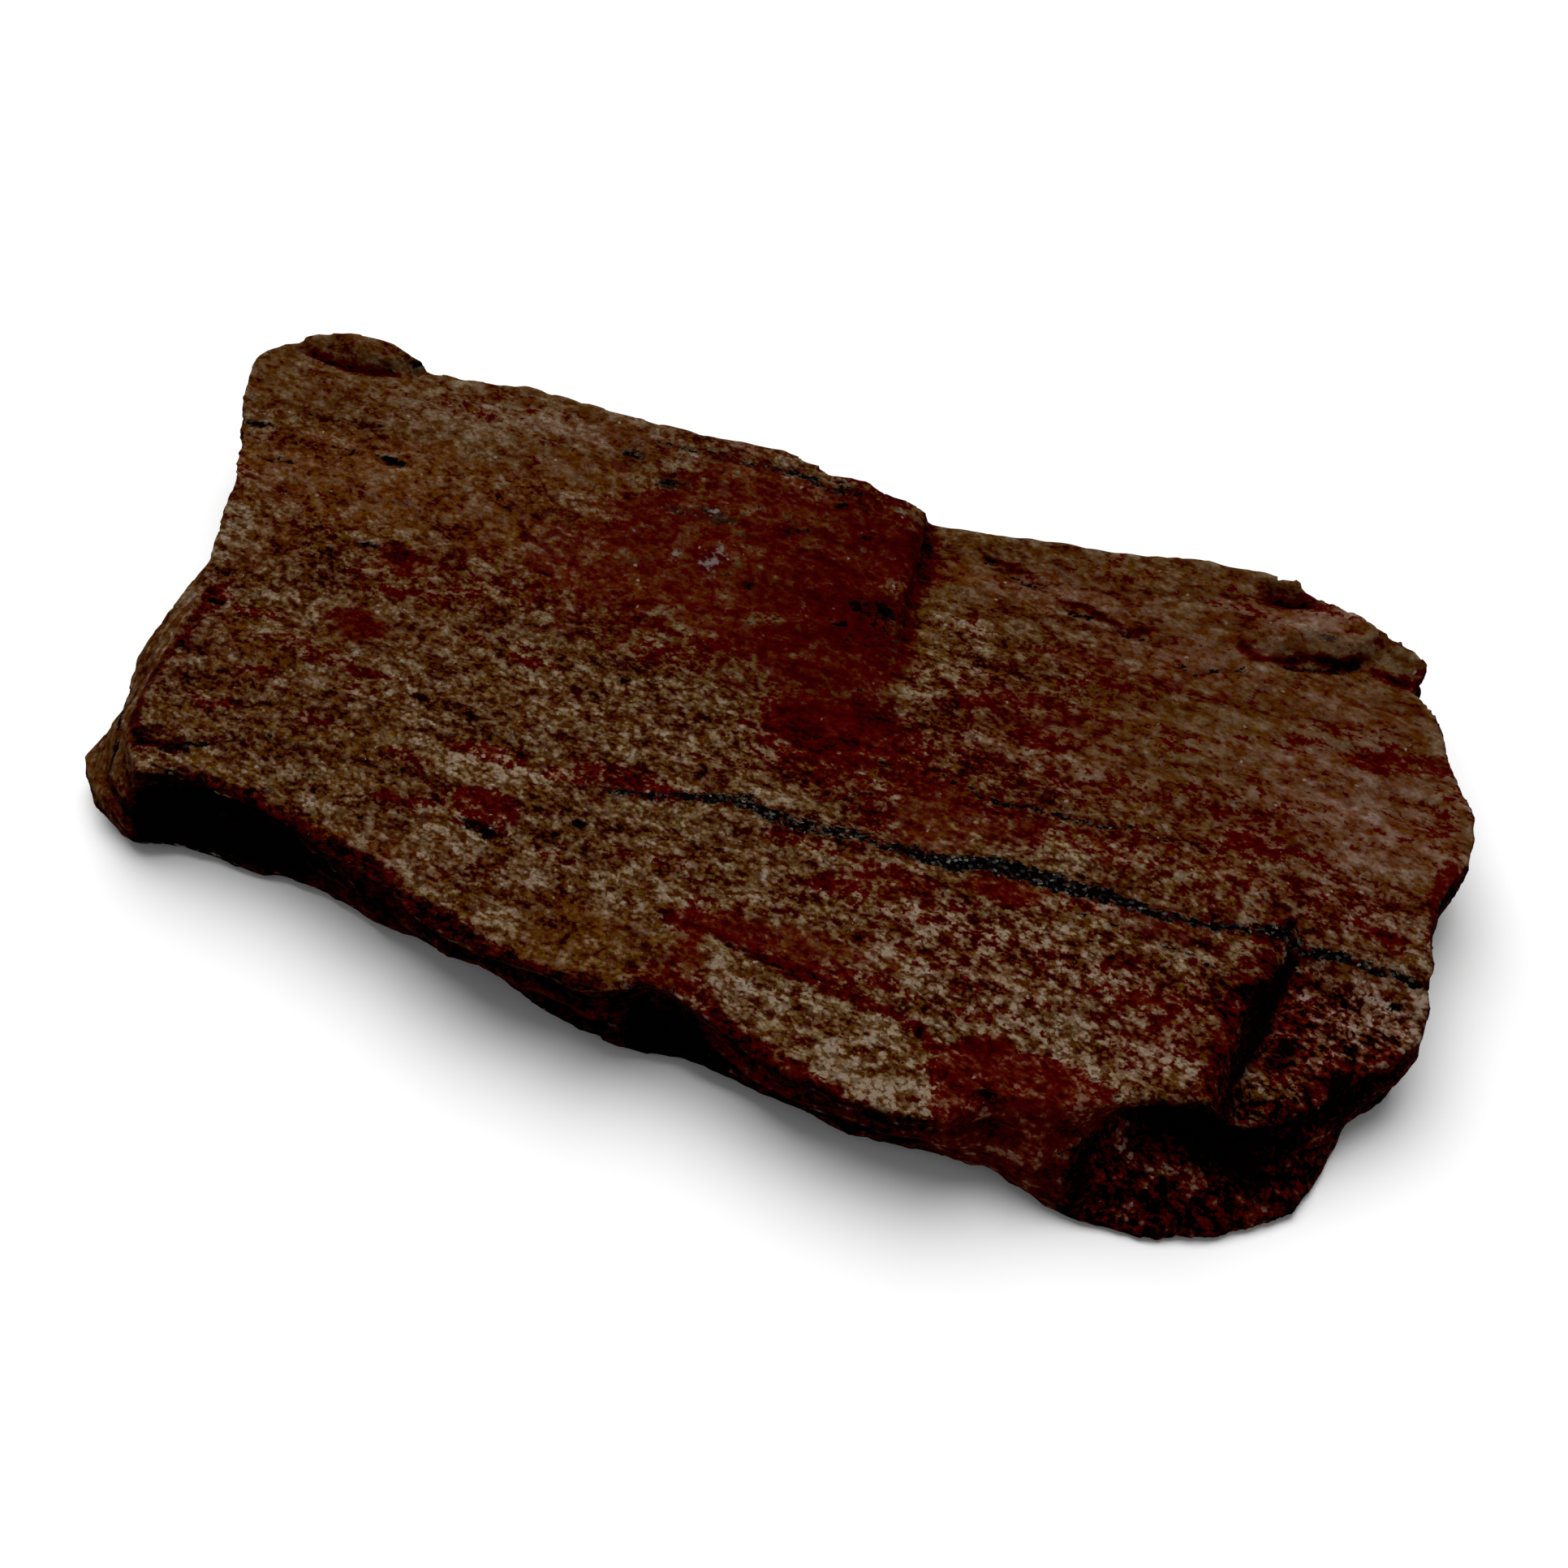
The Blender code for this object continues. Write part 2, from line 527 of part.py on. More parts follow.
def stone_material():
    """Dark red, matt stone."""
    material = bpy.data.materials.new("banded_red_jasper")
    material.use_nodes = True
    shader = material.node_tree.nodes["Principled BSDF"]
    shader.inputs["Base Color"].default_value = (*STONE_COLOUR, 1.0)
    shader.inputs["Roughness"].default_value = STONE_ROUGHNESS
    shader.inputs["Metallic"].default_value = 0.0
    return material


def main():
    """Builds the slab."""
    clear_scene()
    data = make_slab()
    slab = bpy.data.objects.new("jasper_slab", data)
    bpy.context.scene.collection.objects.link(slab)
    data.materials.append(stone_material())
    data.shade_smooth()
    data.set_sharp_from_angle(angle=SMOOTH_UNDER)


main()
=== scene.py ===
"""Looks of the red jasper slab: its fine surface, its banded stone material, camera, light and floor."""

import math

import bpy
import numpy as np
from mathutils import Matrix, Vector


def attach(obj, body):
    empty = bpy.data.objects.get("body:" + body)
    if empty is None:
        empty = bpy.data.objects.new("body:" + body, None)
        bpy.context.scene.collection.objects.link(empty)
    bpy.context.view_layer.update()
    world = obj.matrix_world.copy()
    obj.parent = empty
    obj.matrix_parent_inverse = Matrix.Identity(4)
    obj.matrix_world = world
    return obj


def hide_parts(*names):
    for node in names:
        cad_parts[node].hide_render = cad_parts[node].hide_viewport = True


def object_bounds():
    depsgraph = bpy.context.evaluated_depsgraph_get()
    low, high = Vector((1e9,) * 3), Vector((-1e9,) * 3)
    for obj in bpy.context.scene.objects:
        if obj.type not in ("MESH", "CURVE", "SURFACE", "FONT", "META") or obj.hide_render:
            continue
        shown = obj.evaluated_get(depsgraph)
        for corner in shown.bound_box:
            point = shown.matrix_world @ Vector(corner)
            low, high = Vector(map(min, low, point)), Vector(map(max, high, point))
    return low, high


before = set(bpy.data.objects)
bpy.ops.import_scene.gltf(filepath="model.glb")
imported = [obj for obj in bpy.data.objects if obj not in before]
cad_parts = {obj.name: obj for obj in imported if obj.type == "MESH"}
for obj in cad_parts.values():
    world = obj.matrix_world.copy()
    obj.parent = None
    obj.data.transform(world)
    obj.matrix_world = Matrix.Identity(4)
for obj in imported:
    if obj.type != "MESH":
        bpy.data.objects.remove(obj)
cad_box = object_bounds()

MM = 0.001

# Camera: where it stands from its aim, in degrees and metres, and its lens in millimetres
CAMERA_AZIMUTH = 22.0
CAMERA_ELEVATION = 50.0
CAMERA_DISTANCE = 0.1639
CAMERA_LENS = 54.0
CAMERA_SENSOR = 36.0
CAMERA_AIM = (0.0041, -0.0029, 0.0044)
NEAREST_SEEN = 0.005

# Light: the way to the lamp from the stone, its strength and how wide it looks in degrees
KEY_WAY = (-0.28, 0.42, 1.00)
KEY_STRENGTH = 3.77
KEY_SPREAD = 62.0
SKY_STRENGTH = 0.35

# Floor: its side in metres, and its surface
FLOOR_SIDE = 6.0
FLOOR_GREY = 0.76
FLOOR_ROUGHNESS = 0.9
FLOOR_SHINE = 0.1

# Fine mesh of the stone, in millimetres, and how often its points or normals are eased
VOXEL = 0.37
BOX_GAP = 0.01
EASING_PASSES = 1
BROAD_PASSES = 8
HOLLOW_PASSES = 6
HOLLOW_SCALE = 4.0

# Turn of the streaks and of the drawn-out grains
STREAK_DEGREES = 4.5
GRAIN_DEGREES = 12.0

# Heights of the relief, in millimetres
TOP_LEDGE = 0.16
TOP_BUMP = 0.05
TOP_GRAIN = 0.045
TOP_PIT = 0.14
SIDE_LAYER = 0.20
SIDE_THIN_LAYER = 0.10
SIDE_CHIP = 0.20
SIDE_GRAIN = 0.06
SIDE_SINK = 0.12
UNDER_GRAIN = 0.05
UNDER_SINK = 0.06
TIP_CALM = 0.85

# Tones of the photographed stone, as screen values out of 255, from its darkest to its lightest grains
STONE_LIGHT = 1.22
KHAKI_TONES = (
    (0, (2, 0, 0)), (0.1, (30, 1, 0)), (0.22, (43, 8, 0)), (0.34, (54, 23, 3)), (0.45, (61, 34, 10)),
    (0.55, (69, 44, 21)), (0.66, (79, 57, 35)), (0.8, (95, 75, 54)), (1, (124, 106, 88)),
)
PINK_TONES = (
    (0, (2, 0, 0)), (0.1, (32, 0, 0)), (0.22, (46, 5, 0)), (0.34, (58, 20, 4)), (0.45, (66, 33, 12)),
    (0.55, (73, 43, 25)), (0.66, (82, 54, 39)), (0.8, (96, 71, 58)), (1, (124, 102, 92)),
)
OCHRE_TONES = (
    (0, (6, 0, 0)), (0.12, (38, 2, 0)), (0.24, (52, 13, 0)), (0.38, (65, 28, 3)), (0.5, (73, 38, 11)),
    (0.62, (79, 46, 21)), (0.75, (87, 57, 34)), (0.88, (98, 71, 51)), (1, (112, 88, 68)),
)
ORANGE_TONES = (
    (0, (5, 0, 0)), (0.16, (36, 0, 0)), (0.3, (49, 1, 0)), (0.44, (57, 9, 0)), (0.56, (63, 18, 1)),
    (0.68, (69, 29, 6)), (0.79, (78, 43, 20)), (0.9, (92, 62, 41)), (1, (110, 85, 65)),
)
RED_TONES = (
    (0, (1, 0, 0)), (0.15, (25, 0, 0)), (0.3, (42, 0, 0)), (0.45, (52, 0, 0)), (0.58, (58, 1, 0)),
    (0.7, (62, 7, 1)), (0.82, (69, 20, 5)), (0.92, (80, 40, 20)), (1, (96, 62, 44)),
)
GOLD_TONES = (
    (0, (10, 0, 0)), (0.15, (34, 4, 0)), (0.3, (52, 17, 0)), (0.45, (61, 30, 3)), (0.6, (68, 40, 11)),
    (0.75, (79, 52, 28)), (0.88, (90, 66, 42)), (1, (108, 86, 62)),
)
IRON_TONES = (
    (0, (1, 0, 1)), (0.7, (3, 1, 2)), (0.84, (20, 18, 16)), (0.95, (46, 45, 40)), (1, (90, 89, 80)),
)
# Black of the stone's spots and seams, also used for the painted shade in the front notches and the recess
# behind the toe
BLACK_AND_SHADE_TONE = (3, 0, 0)
QUARTZ_TONE = (100, 90, 86)
# Colour of the painted glints, bright specks that stand in for highlights
GLINT_TONE = (150, 140, 128)


def linear(channel):
    """Screen value from 0 to 255 as linear light."""
    share = channel / 255.0
    if share <= 0.04045:
        return share / 12.92
    return ((share + 0.055) / 1.055) ** 2.4


def tone(screen):
    """Linear colour of a screen value, with the scene's light taken out of it."""
    return tuple(linear(channel) / STONE_LIGHT for channel in screen) + (1.0,)


def soft_step(low, high, value):
    """0 below low, 1 above high, and smooth between."""
    share = np.clip((value - low) / (high - low), 0.0, 1.0)
    return share * share * (3.0 - 2.0 * share)


def cell_noise(points, seed):
    """Smooth repeatable noise from -1 to 1 on a lattice with a spacing of 1."""
    cell = np.floor(points).astype(np.int64)
    share = points - cell
    share = share * share * (3.0 - 2.0 * share)
    total = np.zeros(len(points))
    for corner in range(8):
        step = np.array([corner & 1, (corner >> 1) & 1, (corner >> 2) & 1])
        at = (cell + step) * np.array([73856093, 19349663, 83492791])
        mixed = (at[:, 0] ^ at[:, 1] ^ at[:, 2]) + seed * 2654435761
        mixed = (mixed ^ (mixed >> 13)) * 1274126177
        value = ((mixed ^ (mixed >> 16)) & 0xFFFF) / 32767.5 - 1.0
        weight = np.where(step == 1, share, 1.0 - share).prod(axis=1)
        total += value * weight
    return total


def layered_noise(points, seed, octaves=3):
    """Several sizes of noise added up, each half as large and half as strong as the last."""
    total = np.zeros(len(points))
    for octave in range(octaves):
        total += cell_noise(points * 2.0 ** octave + 17.3 * octave, seed + octave) * 0.5 ** octave
    return total


def wander(points, seed):
    """Slow noise, in millimetres, that keeps markings from lying on straight edges."""
    return 0.8 * cell_noise(points * 0.28, seed) + 0.45 * cell_noise(points * 0.8, seed + 1)


def ledges(value, count, softness):
    """Turns a slope into so many steps for each unit of it, each with a short riser."""
    value = count * value
    whole = np.floor(value)
    return (whole + soft_step(0.5 - softness, 0.5 + softness, value - whole)) / count


def within(points, limits):
    """1 inside a zone, 0 outside it and smooth between, from its limits along the axes."""
    share = np.ones(len(points))
    for axis, start, full in limits:
        share *= soft_step(start, full, points[:, axis])
    return share


def bedding(points):
    """Points turned so that their first axis runs along the streaks of the stone."""
    turn = math.radians(STREAK_DEGREES)
    along = points[:, 0] * math.cos(turn) + points[:, 1] * math.sin(turn)
    across = -points[:, 0] * math.sin(turn) + points[:, 1] * math.cos(turn)
    return np.stack([along, across, points[:, 2]], axis=1)


def from_line(x, y, line):
    """Distance from each plan point to a line, and how far along the line it is, from 0 to 1."""
    spots = np.stack([x, y], axis=1)
    line = np.array(line, float)
    lengths = np.linalg.norm(np.diff(line, axis=0), axis=1)
    reach = np.concatenate([[0.0], np.cumsum(lengths)])
    best = np.full(len(spots), 1e9)
    along = np.zeros(len(spots))
    for index in range(len(line) - 1):
        run = line[index + 1] - line[index]
        share = np.clip(((spots - line[index]) @ run) / (run @ run), 0.0, 1.0)
        distance = np.linalg.norm(spots - (line[index] + share[:, None] * run), axis=1)
        closer = distance < best
        best = np.where(closer, distance, best)
        along = np.where(closer, reach[index] + share * lengths[index], along)
    return best, along / reach[-1]


def tapered(along, ends):
    """1 along a line's middle, falling to 0 over a share of its length at each end."""
    return np.clip(along / ends, 0.0, 1.0) * np.clip((1.0 - along) / ends, 0.0, 1.0)


def faded(reach):
    """1 up to half an edge's distance, one half at the edge and 0 from one and a half times it."""
    return np.clip(1.5 - reach, 0.0, 1.0)


def patch(x, y, middle_x, middle_y, radius_x, radius_y):
    """1 in the middle of an oval along the streaks, one half at its edge and 0 well outside it."""
    turn = math.radians(STREAK_DEGREES)
    along = (x - middle_x) * math.cos(turn) + (y - middle_y) * math.sin(turn)
    across = -(x - middle_x) * math.sin(turn) + (y - middle_y) * math.cos(turn)
    reach = np.sqrt((along / radius_x) ** 2 + (across / radius_y) ** 2)
    return faded(reach)


def strongest(x, y, patches):
    """Strength of the strongest oval at each point."""
    found = np.zeros(len(x))
    for middle_x, middle_y, radius_x, radius_y, strength in patches:
        found = np.maximum(found, strength * patch(x, y, middle_x, middle_y, radius_x, radius_y))
    return found


def inside_shape(x, y, outline, softness):
    """One half on a closed outline, 1 well inside it and 0 well outside."""
    closed = tuple(outline) + (outline[0],)
    distance, _ = from_line(x, y, closed)
    inside = np.zeros(len(x), bool)
    for (x0, y0), (x1, y1) in zip(closed[:-1], closed[1:]):
        if y0 != y1:
            inside ^= ((y0 > y) != (y1 > y)) & (x < x0 + (y - y0) * (x1 - x0) / (y1 - y0))
    signed = np.where(inside, distance, -distance)
    return np.clip(0.5 + 0.5 * signed / softness, 0.0, 1.0)


# Markings of the top, in millimetres from the stone's origin.
# An oval has its middle, its radii along and across the streaks, and its strength.
DEEP_RED = (
    (3.6, 9.6, 4.6, 3.4, 0.86), (5.4, 18, 2, 4.6, 0.8), (-3, 14.4, 3, 2, 0.5), (6.6, 0, 5.4, 3.4, 1.15),
    (11.4, -0.4, 2.6, 2, 0.8), (-2, 6, 5, 3, 0.46), (-12, 7, 7, 4, 0.3), (-24, 2.6, 9, 2.4, 0.36),
    (-33, 4.2, 5, 1.2, 0.3), (16, 7.6, 8, 4, 0.36), (19, 1.6, 7, 3, 0.4), (42.5, -1, 5, 3, 0.42),
    (21, -13, 10, 4, 0.34), (34.6, -14, 4, 5.4, 0.46), (43.4, -11, 4, 5, 0.46), (17.5, -1.8, 6, 1.8, 0.42),
    (27, -2.4, 10, 1.8, 0.38), (35.6, 0.9, 2.6, 1.4, 0.85), (34.5, -2.6, 5, 2.2, 0.5),
    (22.4, -8.8, 3.2, 0.9, 0.85), (26.6, -8, 3, 0.5, 0.6), (38.2, -7.6, 1, 2.4, 0.72),
    (11.6, -12.4, 1.9, 0.9, 0.92), (9, -9.8, 4, 0.9, 0.48), (13.8, -10.4, 3.4, 1.4, 0.62),
    (31.5, -12.2, 4.4, 1.8, 0.5), (36.2, -12, 1.6, 5, 0.46), (7.6, -18.4, 4, 0.9, 0.25),
    (4.4, -18.8, 2, 2.4, 0.7), (14, -19.2, 6, 0.6, 0.8), (22.6, -21.6, 2, 0.7, 0.9), (20, 10, 12, 8, 0.1),
    (38, 6, 12, 8, 0.08), (15, 6.4, 2, 0.6, 0.9), (21, 4.2, 2.4, 0.6, 0.8), (28.5, 7.6, 1.6, 0.5, 0.7),
    (42.8, 13.1, 2, 0.5, 0.8), (36.4, 11.8, 1.4, 0.5, 0.7), (24, 11.6, 2.4, 0.6, 0.6),
    (5, -23.4, 2.4, 1.3, 0.8), (9.4, -25.3, 3.4, 0.9, 0.88), (-28.4, -3.2, 2, 1, 0.5),
    (-28.4, 3, 2, 1.5, 0.56), (-26.6, 0.4, 3.2, 0.5, 0.7), (-25.6, -7.4, 2.6, 0.5, 0.74),
    (-31, -7.2, 4, 0.9, 0.46), (-14.8, -10.7, 1.9, 0.7, 0.9), (-12.8, -15.3, 2.1, 1.4, 1),
    (-18, -16.4, 3, 0.6, 0.62), (-4.8, -9.4, 5, 0.9, 0.78), (-9, -10.6, 1.6, 0.5, 0.88),
    (-15.5, -2, 1.5, 0.6, 0.55), (-20, -1.2, 5, 0.7, 0.42), (18.5, 7.4, 4, 1.2, 0.48),
    (21, 5.2, 5, 0.7, 0.62), (22.4, 12, 3, 1.1, 0.52), (12, 13.4, 2.4, 0.6, 0.5), (18, 13.6, 1.6, 0.4, 0.6),
    (12.8, 5.6, 2.8, 0.7, 0.5), (36.8, 11.6, 2, 0.9, 0.46), (43, 12.8, 1.8, 0.8, 0.52),
    (40.5, 14, 6, 0.8, 0.3), (47.6, 9, 1.4, 4, 0.44), (49, 2, 0.9, 4, 0.86), (41.6, -9.4, 1.6, 4.4, 0.66),
    (42.8, -13.4, 2.4, 2, 0.64), (44.8, -14.6, 2, 2, 0.7), (38.9, -12, 0.9, 7, 0.78),
    (-22, 2.2, 1.4, 0.5, 0.74), (-7, 2.4, 5, 1.2, 0.56), (29, 3, 8, 1.6, 0.34), (38, 5.4, 8, 1, 0.34),
    (32.8, 25.3, 2.3, 1.2, 0.9), (36.6, 24.4, 2.6, 0.5, 0.7), (42.2, 20.8, 1.6, 0.7, 0.8),
    (-39.9, -4.4, 1, 1.3, 0.8), (-36.4, -18.6, 2, 0.9, 0.56), (36, 11, 1.4, 0.5, 0.8),
    (41.6, 11.6, 2, 0.5, 0.8), (45.4, 12.4, 1.6, 0.5, 0.7), (-36, -5, 3, 0.5, 0.6),
    (-32.6, -10.2, 2.4, 0.5, 0.6), (33, -13.4, 3, 0.7, 0.8), (-34, -13.6, 1.6, 0.5, 0.6),
    (-26, -12.6, 2.6, 0.5, 0.6), (-19.6, -13, 1.6, 0.5, 0.6), (45, -12.6, 1.2, 1, 1),
    (30, 22.6, 2, 0.5, 0.6), (24, -18.4, 4, 0.5, 0.6), (46, -2.6, 2.4, 0.6, 0.9), (40, 1.6, 3, 0.5, 0.6),
    (-14.9, -10.7, 1.6, 0.6, 1), (8, -15.6, 4, 0.8, 0.3), (-1, -15, 4, 0.7, 0.36),
    (-7.6, -17.2, 2, 0.5, 0.45), (16, -22.6, 1.4, 0.8, 0.44), (1.4, -5.2, 4, 0.5, 0.5),
    (-45, 6.8, 0.8, 1.6, 0.62),
)
ORANGE = (
    (-14, 9, 7.5, 5.5, 1), (-5, 9, 4.5, 5.5, 0.8), (-7, 20, 6.5, 2.6, 1), (-14, 13.6, 6, 2, 0.9),
    (-21, 6, 5, 3.6, 0.44), (-12, 2.6, 9, 2, 0.56), (2.6, 16, 1.8, 2.4, 0.9), (2, 6.4, 3.4, 1.8, 0.8),
    (-0.6, 12, 2, 4, 0.6), (-28.6, -3.4, 2.6, 1.6, 0.9), (-28, 3, 4, 2.4, 0.66),
    (-17.6, 17.6, 1.4, 0.8, 0.8), (15.6, -4.4, 3.2, 3.4, 1), (19, -3.6, 6, 2, 0.66), (8, -1.4, 5, 4.4, 0.5),
    (22.6, -8.7, 3.4, 0.9, 0.9), (32, -7.2, 4, 1.6, 0.74), (28, -2.6, 9, 1.8, 0.5), (35.4, -2.4, 4, 3, 0.6),
    (10, -17.8, 7, 1.3, 1), (7.8, -18.4, 3.4, 1, 1), (25.2, -21, 2, 1.4, 1.1), (29.4, -24.2, 2, 2.2, 1.2),
    (22.8, -22.8, 1.2, 1, 1), (4.8, -20.4, 1.6, 2.6, 0.9), (14, -11, 4.6, 1.8, 0.6),
    (28, -21.2, 4.4, 1, 0.6), (31.6, -26.4, 2.2, 2, 0.8), (23.2, -22.6, 2.2, 0.8, 0.7),
    (29, 13.4, 5, 1, 0.5), (21.4, 13.6, 3.6, 0.7, 0.66), (44, 13, 4, 1.2, 0.44), (20, 6.6, 5, 2.4, 0.56),
    (32.4, 18.8, 2.4, 0.8, 0.8), (-2, 22.8, 3, 0.8, 0.5), (21, -15.4, 7, 1, 0.4), (34, -14.4, 4, 4, 0.44),
    (36, 9.6, 6, 1.6, 0.3),
)
OCHRE = (
    (-37, 9.4, 10, 4.4, 1), (-25, 9.6, 8, 4.6, 0.76), (-30, 14, 12, 1.3, 0.7), (-45, 17, 5, 5, 0.4),
    (-20, 16.4, 6, 1.6, 0.6), (-39, 2, 3, 5, 0.5), (-33, -8, 8, 4, 0.46), (-26, -2, 8, 3, 0.36),
    (14, 18.6, 6, 2.4, 0.2), (22, 23, 5, 1.2, 0.36), (30, 20, 4, 2, 0.36), (9.2, 19, 2.4, 1.4, 0.6),
    (-19, -20.6, 4, 1.4, 0.44), (24, 9, 7, 3, 0.4), (-3.4, -20.6, 5, 1.2, 0.5), (-45, 24, 6, 1.6, 0.7),
    (14, 9, 4, 5, 0.3), (30, 0.6, 9, 2, 0.4),
)
GOLD = (
    (-1.4, -23, 5.4, 3, 1.1), (16, -24.6, 6, 1.9, 0.3), (-36.5, 13.8, 12, 0.9, 0.5), (-31, 22.6, 9, 1, 0.4),
    (8.2, 13, 1.6, 7, 0.6), (-31.5, -18.6, 3, 1.2, 0.56), (-22, -13, 3, 4.4, 0.6), (-3, -3.4, 6, 1.6, 0.3),
    (4, -21.4, 1.6, 2, 0.6), (33.4, 10.6, 3, 1, 0.46), (28.6, 25.6, 0.9, 0.9, 0.8),
    (-12, 21.4, 8, 0.8, 0.3), (5, -12.4, 5, 1.8, 0.36), (-42, 19, 5, 3, 0.4), (-27.4, 12.8, 4, 0.8, 0.4),
    (-34, 5, 7, 1, 0.4), (26, 7.4, 5, 1, 0.4), (-35.6, -15.4, 4, 1.6, 0.56), (-28, -14.2, 4, 1.6, 0.56),
    (-14, -5, 7, 2.4, 0.36), (26, -14.6, 7, 2.4, 0.3),
)
PINK = (
    (-27, 18.6, 9, 3.4, 0.4), (-10, 23.7, 7, 1, 1), (41, 7, 9, 7.4, 0.85), (40, 16.4, 6, 3, 0.7),
    (34, 22.6, 6, 2.4, 0.9), (-13, -20, 8, 2, 0.4), (-39.6, -9, 2, 7, 0.6), (8.2, -22.8, 1.8, 1.4, 0.6),
    (17, 19.4, 8, 2.6, 0.9), (-33, -11.6, 6, 2, 0.3), (45, -9.6, 5, 5, 0.9), (20, 4, 10, 4, 0.5),
    (25, -14, 10, 3.4, 0.4), (-18, 20.4, 5, 2, 0.7), (43, -1, 6, 3, 0.8), (34, -16, 5, 3, 0.4),
    (-25, -1, 6, 3, 0.3), (28, 17, 8, 3, 0.8),
)
# How much lighter, and then how much darker, than the rest of the top
PALE = (
    (28.5, -17, 8, 3.2, 0.7), (27, -13.4, 7, 1.6, 0.6), (18.4, -13.2, 3.2, 1.6, 0.7),
    (19, -16.6, 3.6, 1, 0.8), (26.6, -3.6, 3.4, 1.1, 0.8), (26.5, -9.4, 3.4, 0.8, 0.6),
    (-14, -12.2, 5.4, 1.6, 1.45), (-25, -9, 3, 0.9, 1.1), (-9, -3.4, 9, 2.6, 0.5),
    (1.6, -3.4, 3.6, 1.8, 0.5), (4.5, -13.8, 7, 2.4, 0.25), (-11, -18.8, 7, 1.4, 0.4),
    (45.6, -8.2, 3.4, 2, 0.7), (43.6, -14.6, 2, 0.6, 1.3), (42, 7, 7.6, 5.6, 0.5), (-15, -11.6, 6, 1, 0.5),
    (43, -11.2, 1.6, 0.9, 1), (-29, 19.6, 9, 3.6, 0.95), (-24, -18, 5, 1.4, 0.4), (-31, -1.6, 5, 1.2, 0.2),
    (-36, 9, 8, 3.6, 0.36), (12.4, 9.2, 3, 1.4, 0.7), (9.4, 8, 1, 3, 0.5), (24, -5.6, 8, 0.5, 0.6),
    (36, -5, 3, 0.8, 0.6), (42, -16.6, 1.2, 0.8, 0.9), (14, 1.6, 2.4, 1.4, 0.7), (24, 2.8, 4, 1, 0.4),
    (32, 8.6, 5, 4, 0.3), (-6, -6.6, 1.2, 0.7, 0.8), (2.8, -7, 4, 1, 0.45), (-0.5, 1.2, 3, 0.8, 0.2),
    (36, 22.4, 3.8, 1.8, 1.1), (10.4, -17.9, 6, 1, 0.45), (0, -17.4, 3, 1, 0.5), (-42, 20, 5, 2, 0.3),
)
DUSKY = (
    (-27, -5, 7, 4, 0.5), (-13, 2, 7, 2.6, 0.5), (-1, 1, 5, 3, 0.4), (32.8, 25.3, 2.2, 1.1, 2.4),
    (7, 0, 6, 4, 0.6), (3, 22.4, 4, 1.2, 0.8), (43.4, -12, 4.4, 5.2, 1.6), (-34, -14, 6, 5, 0.4),
    (3.6, 10.6, 3.6, 3.6, 0.8), (3, 19.4, 4.4, 3.6, 0.8), (2, 12.6, 5, 6, 0.6), (38.6, -10, 1.6, 7, 0.6),
    (42, -1.6, 5, 2.4, 0.45), (-18, 20.4, 4, 1.8, 0.4), (-25, 8.6, 5, 3.6, 0.3), (-26, -6, 10, 3, 0.25),
    (-35, 1, 6, 3.6, 0.45), (-24, -14, 6, 4.6, 0.4), (-35, -12, 6, 5, 0.3), (-24, -1.6, 7, 4, 0.45),
    (16, 8, 8, 5, 0.45), (19, 1.4, 6, 3, 0.45), (34.6, -14.6, 4, 4.4, 0.4), (43, -1.4, 4, 2.4, 0.4),
)
BLACK = (
    (-34.2, 12.3, 1.5, 0.4, 1), (-23.6, 11.4, 0.7, 0.5, 0.8), (-32, 3.7, 1.4, 0.5, 0.7),
    (-35.2, -18.4, 1.8, 0.4, 0.85), (-37.8, -18.2, 0.7, 0.5, 0.9), (-12.2, -16.6, 1, 0.4, 1),
    (-5.6, -14.2, 0.6, 0.5, 0.95), (27.4, -24.3, 0.7, 0.3, 0.7), (5.4, 11.8, 2.2, 0.9, 0.62),
    (-2.8, 16.4, 1.2, 0.5, 0.7), (-0.4, 20, 0.9, 0.5, 0.8), (-3.4, 10.6, 0.7, 0.4, 0.7),
    (27.2, 15.3, 0.6, 0.4, 0.7), (26.6, -23.8, 0.9, 0.45, 0.9), (5.4, 9.4, 2.4, 2.6, 0.42),
    (-17, 19.2, 1.1, 0.6, 0.6), (-8.2, -1, 0.5, 0.5, 0.85), (9, 2.6, 0.8, 0.4, 0.9),
    (32.7, 25.4, 1.7, 0.9, 0.8), (2.2, 17.8, 0.6, 0.4, 0.8), (42.2, -12.8, 1, 0.5, 0.66),
    (38.9, 2.4, 0.8, 0.3, 0.76), (-25, -17, 0.5, 0.4, 0.6), (-28, -15.1, 4, 0.4, 0.5),
    (42.4, -11.8, 0.7, 0.5, 0.95), (-37.6, 23.2, 1, 0.5, 0.8), (47.5, -7.2, 0.45, 0.4, 0.95),
    (46.4, -13.4, 1.2, 0.8, 0.9), (41.2, -6, 1.6, 0.6, 0.66), (-0.4, 21.8, 1.6, 0.4, 0.7),
    (-39.6, -5, 0.5, 0.6, 0.66), (-36.9, -18.4, 0.9, 0.5, 1), (-33.8, -17.5, 1.5, 0.35, 0.85),
    (-13, 17.8, 1.2, 0.7, 0.56), (4.2, 9.4, 0.6, 0.3, 0.9), (-39.6, 6.8, 0.4, 0.2, 0.9),
    (4, -24.6, 1.6, 0.8, 0.9), (10.6, -1.6, 1.4, 0.3, 0.6), (9.8, -4.6, 0.9, 0.3, 0.6),
)
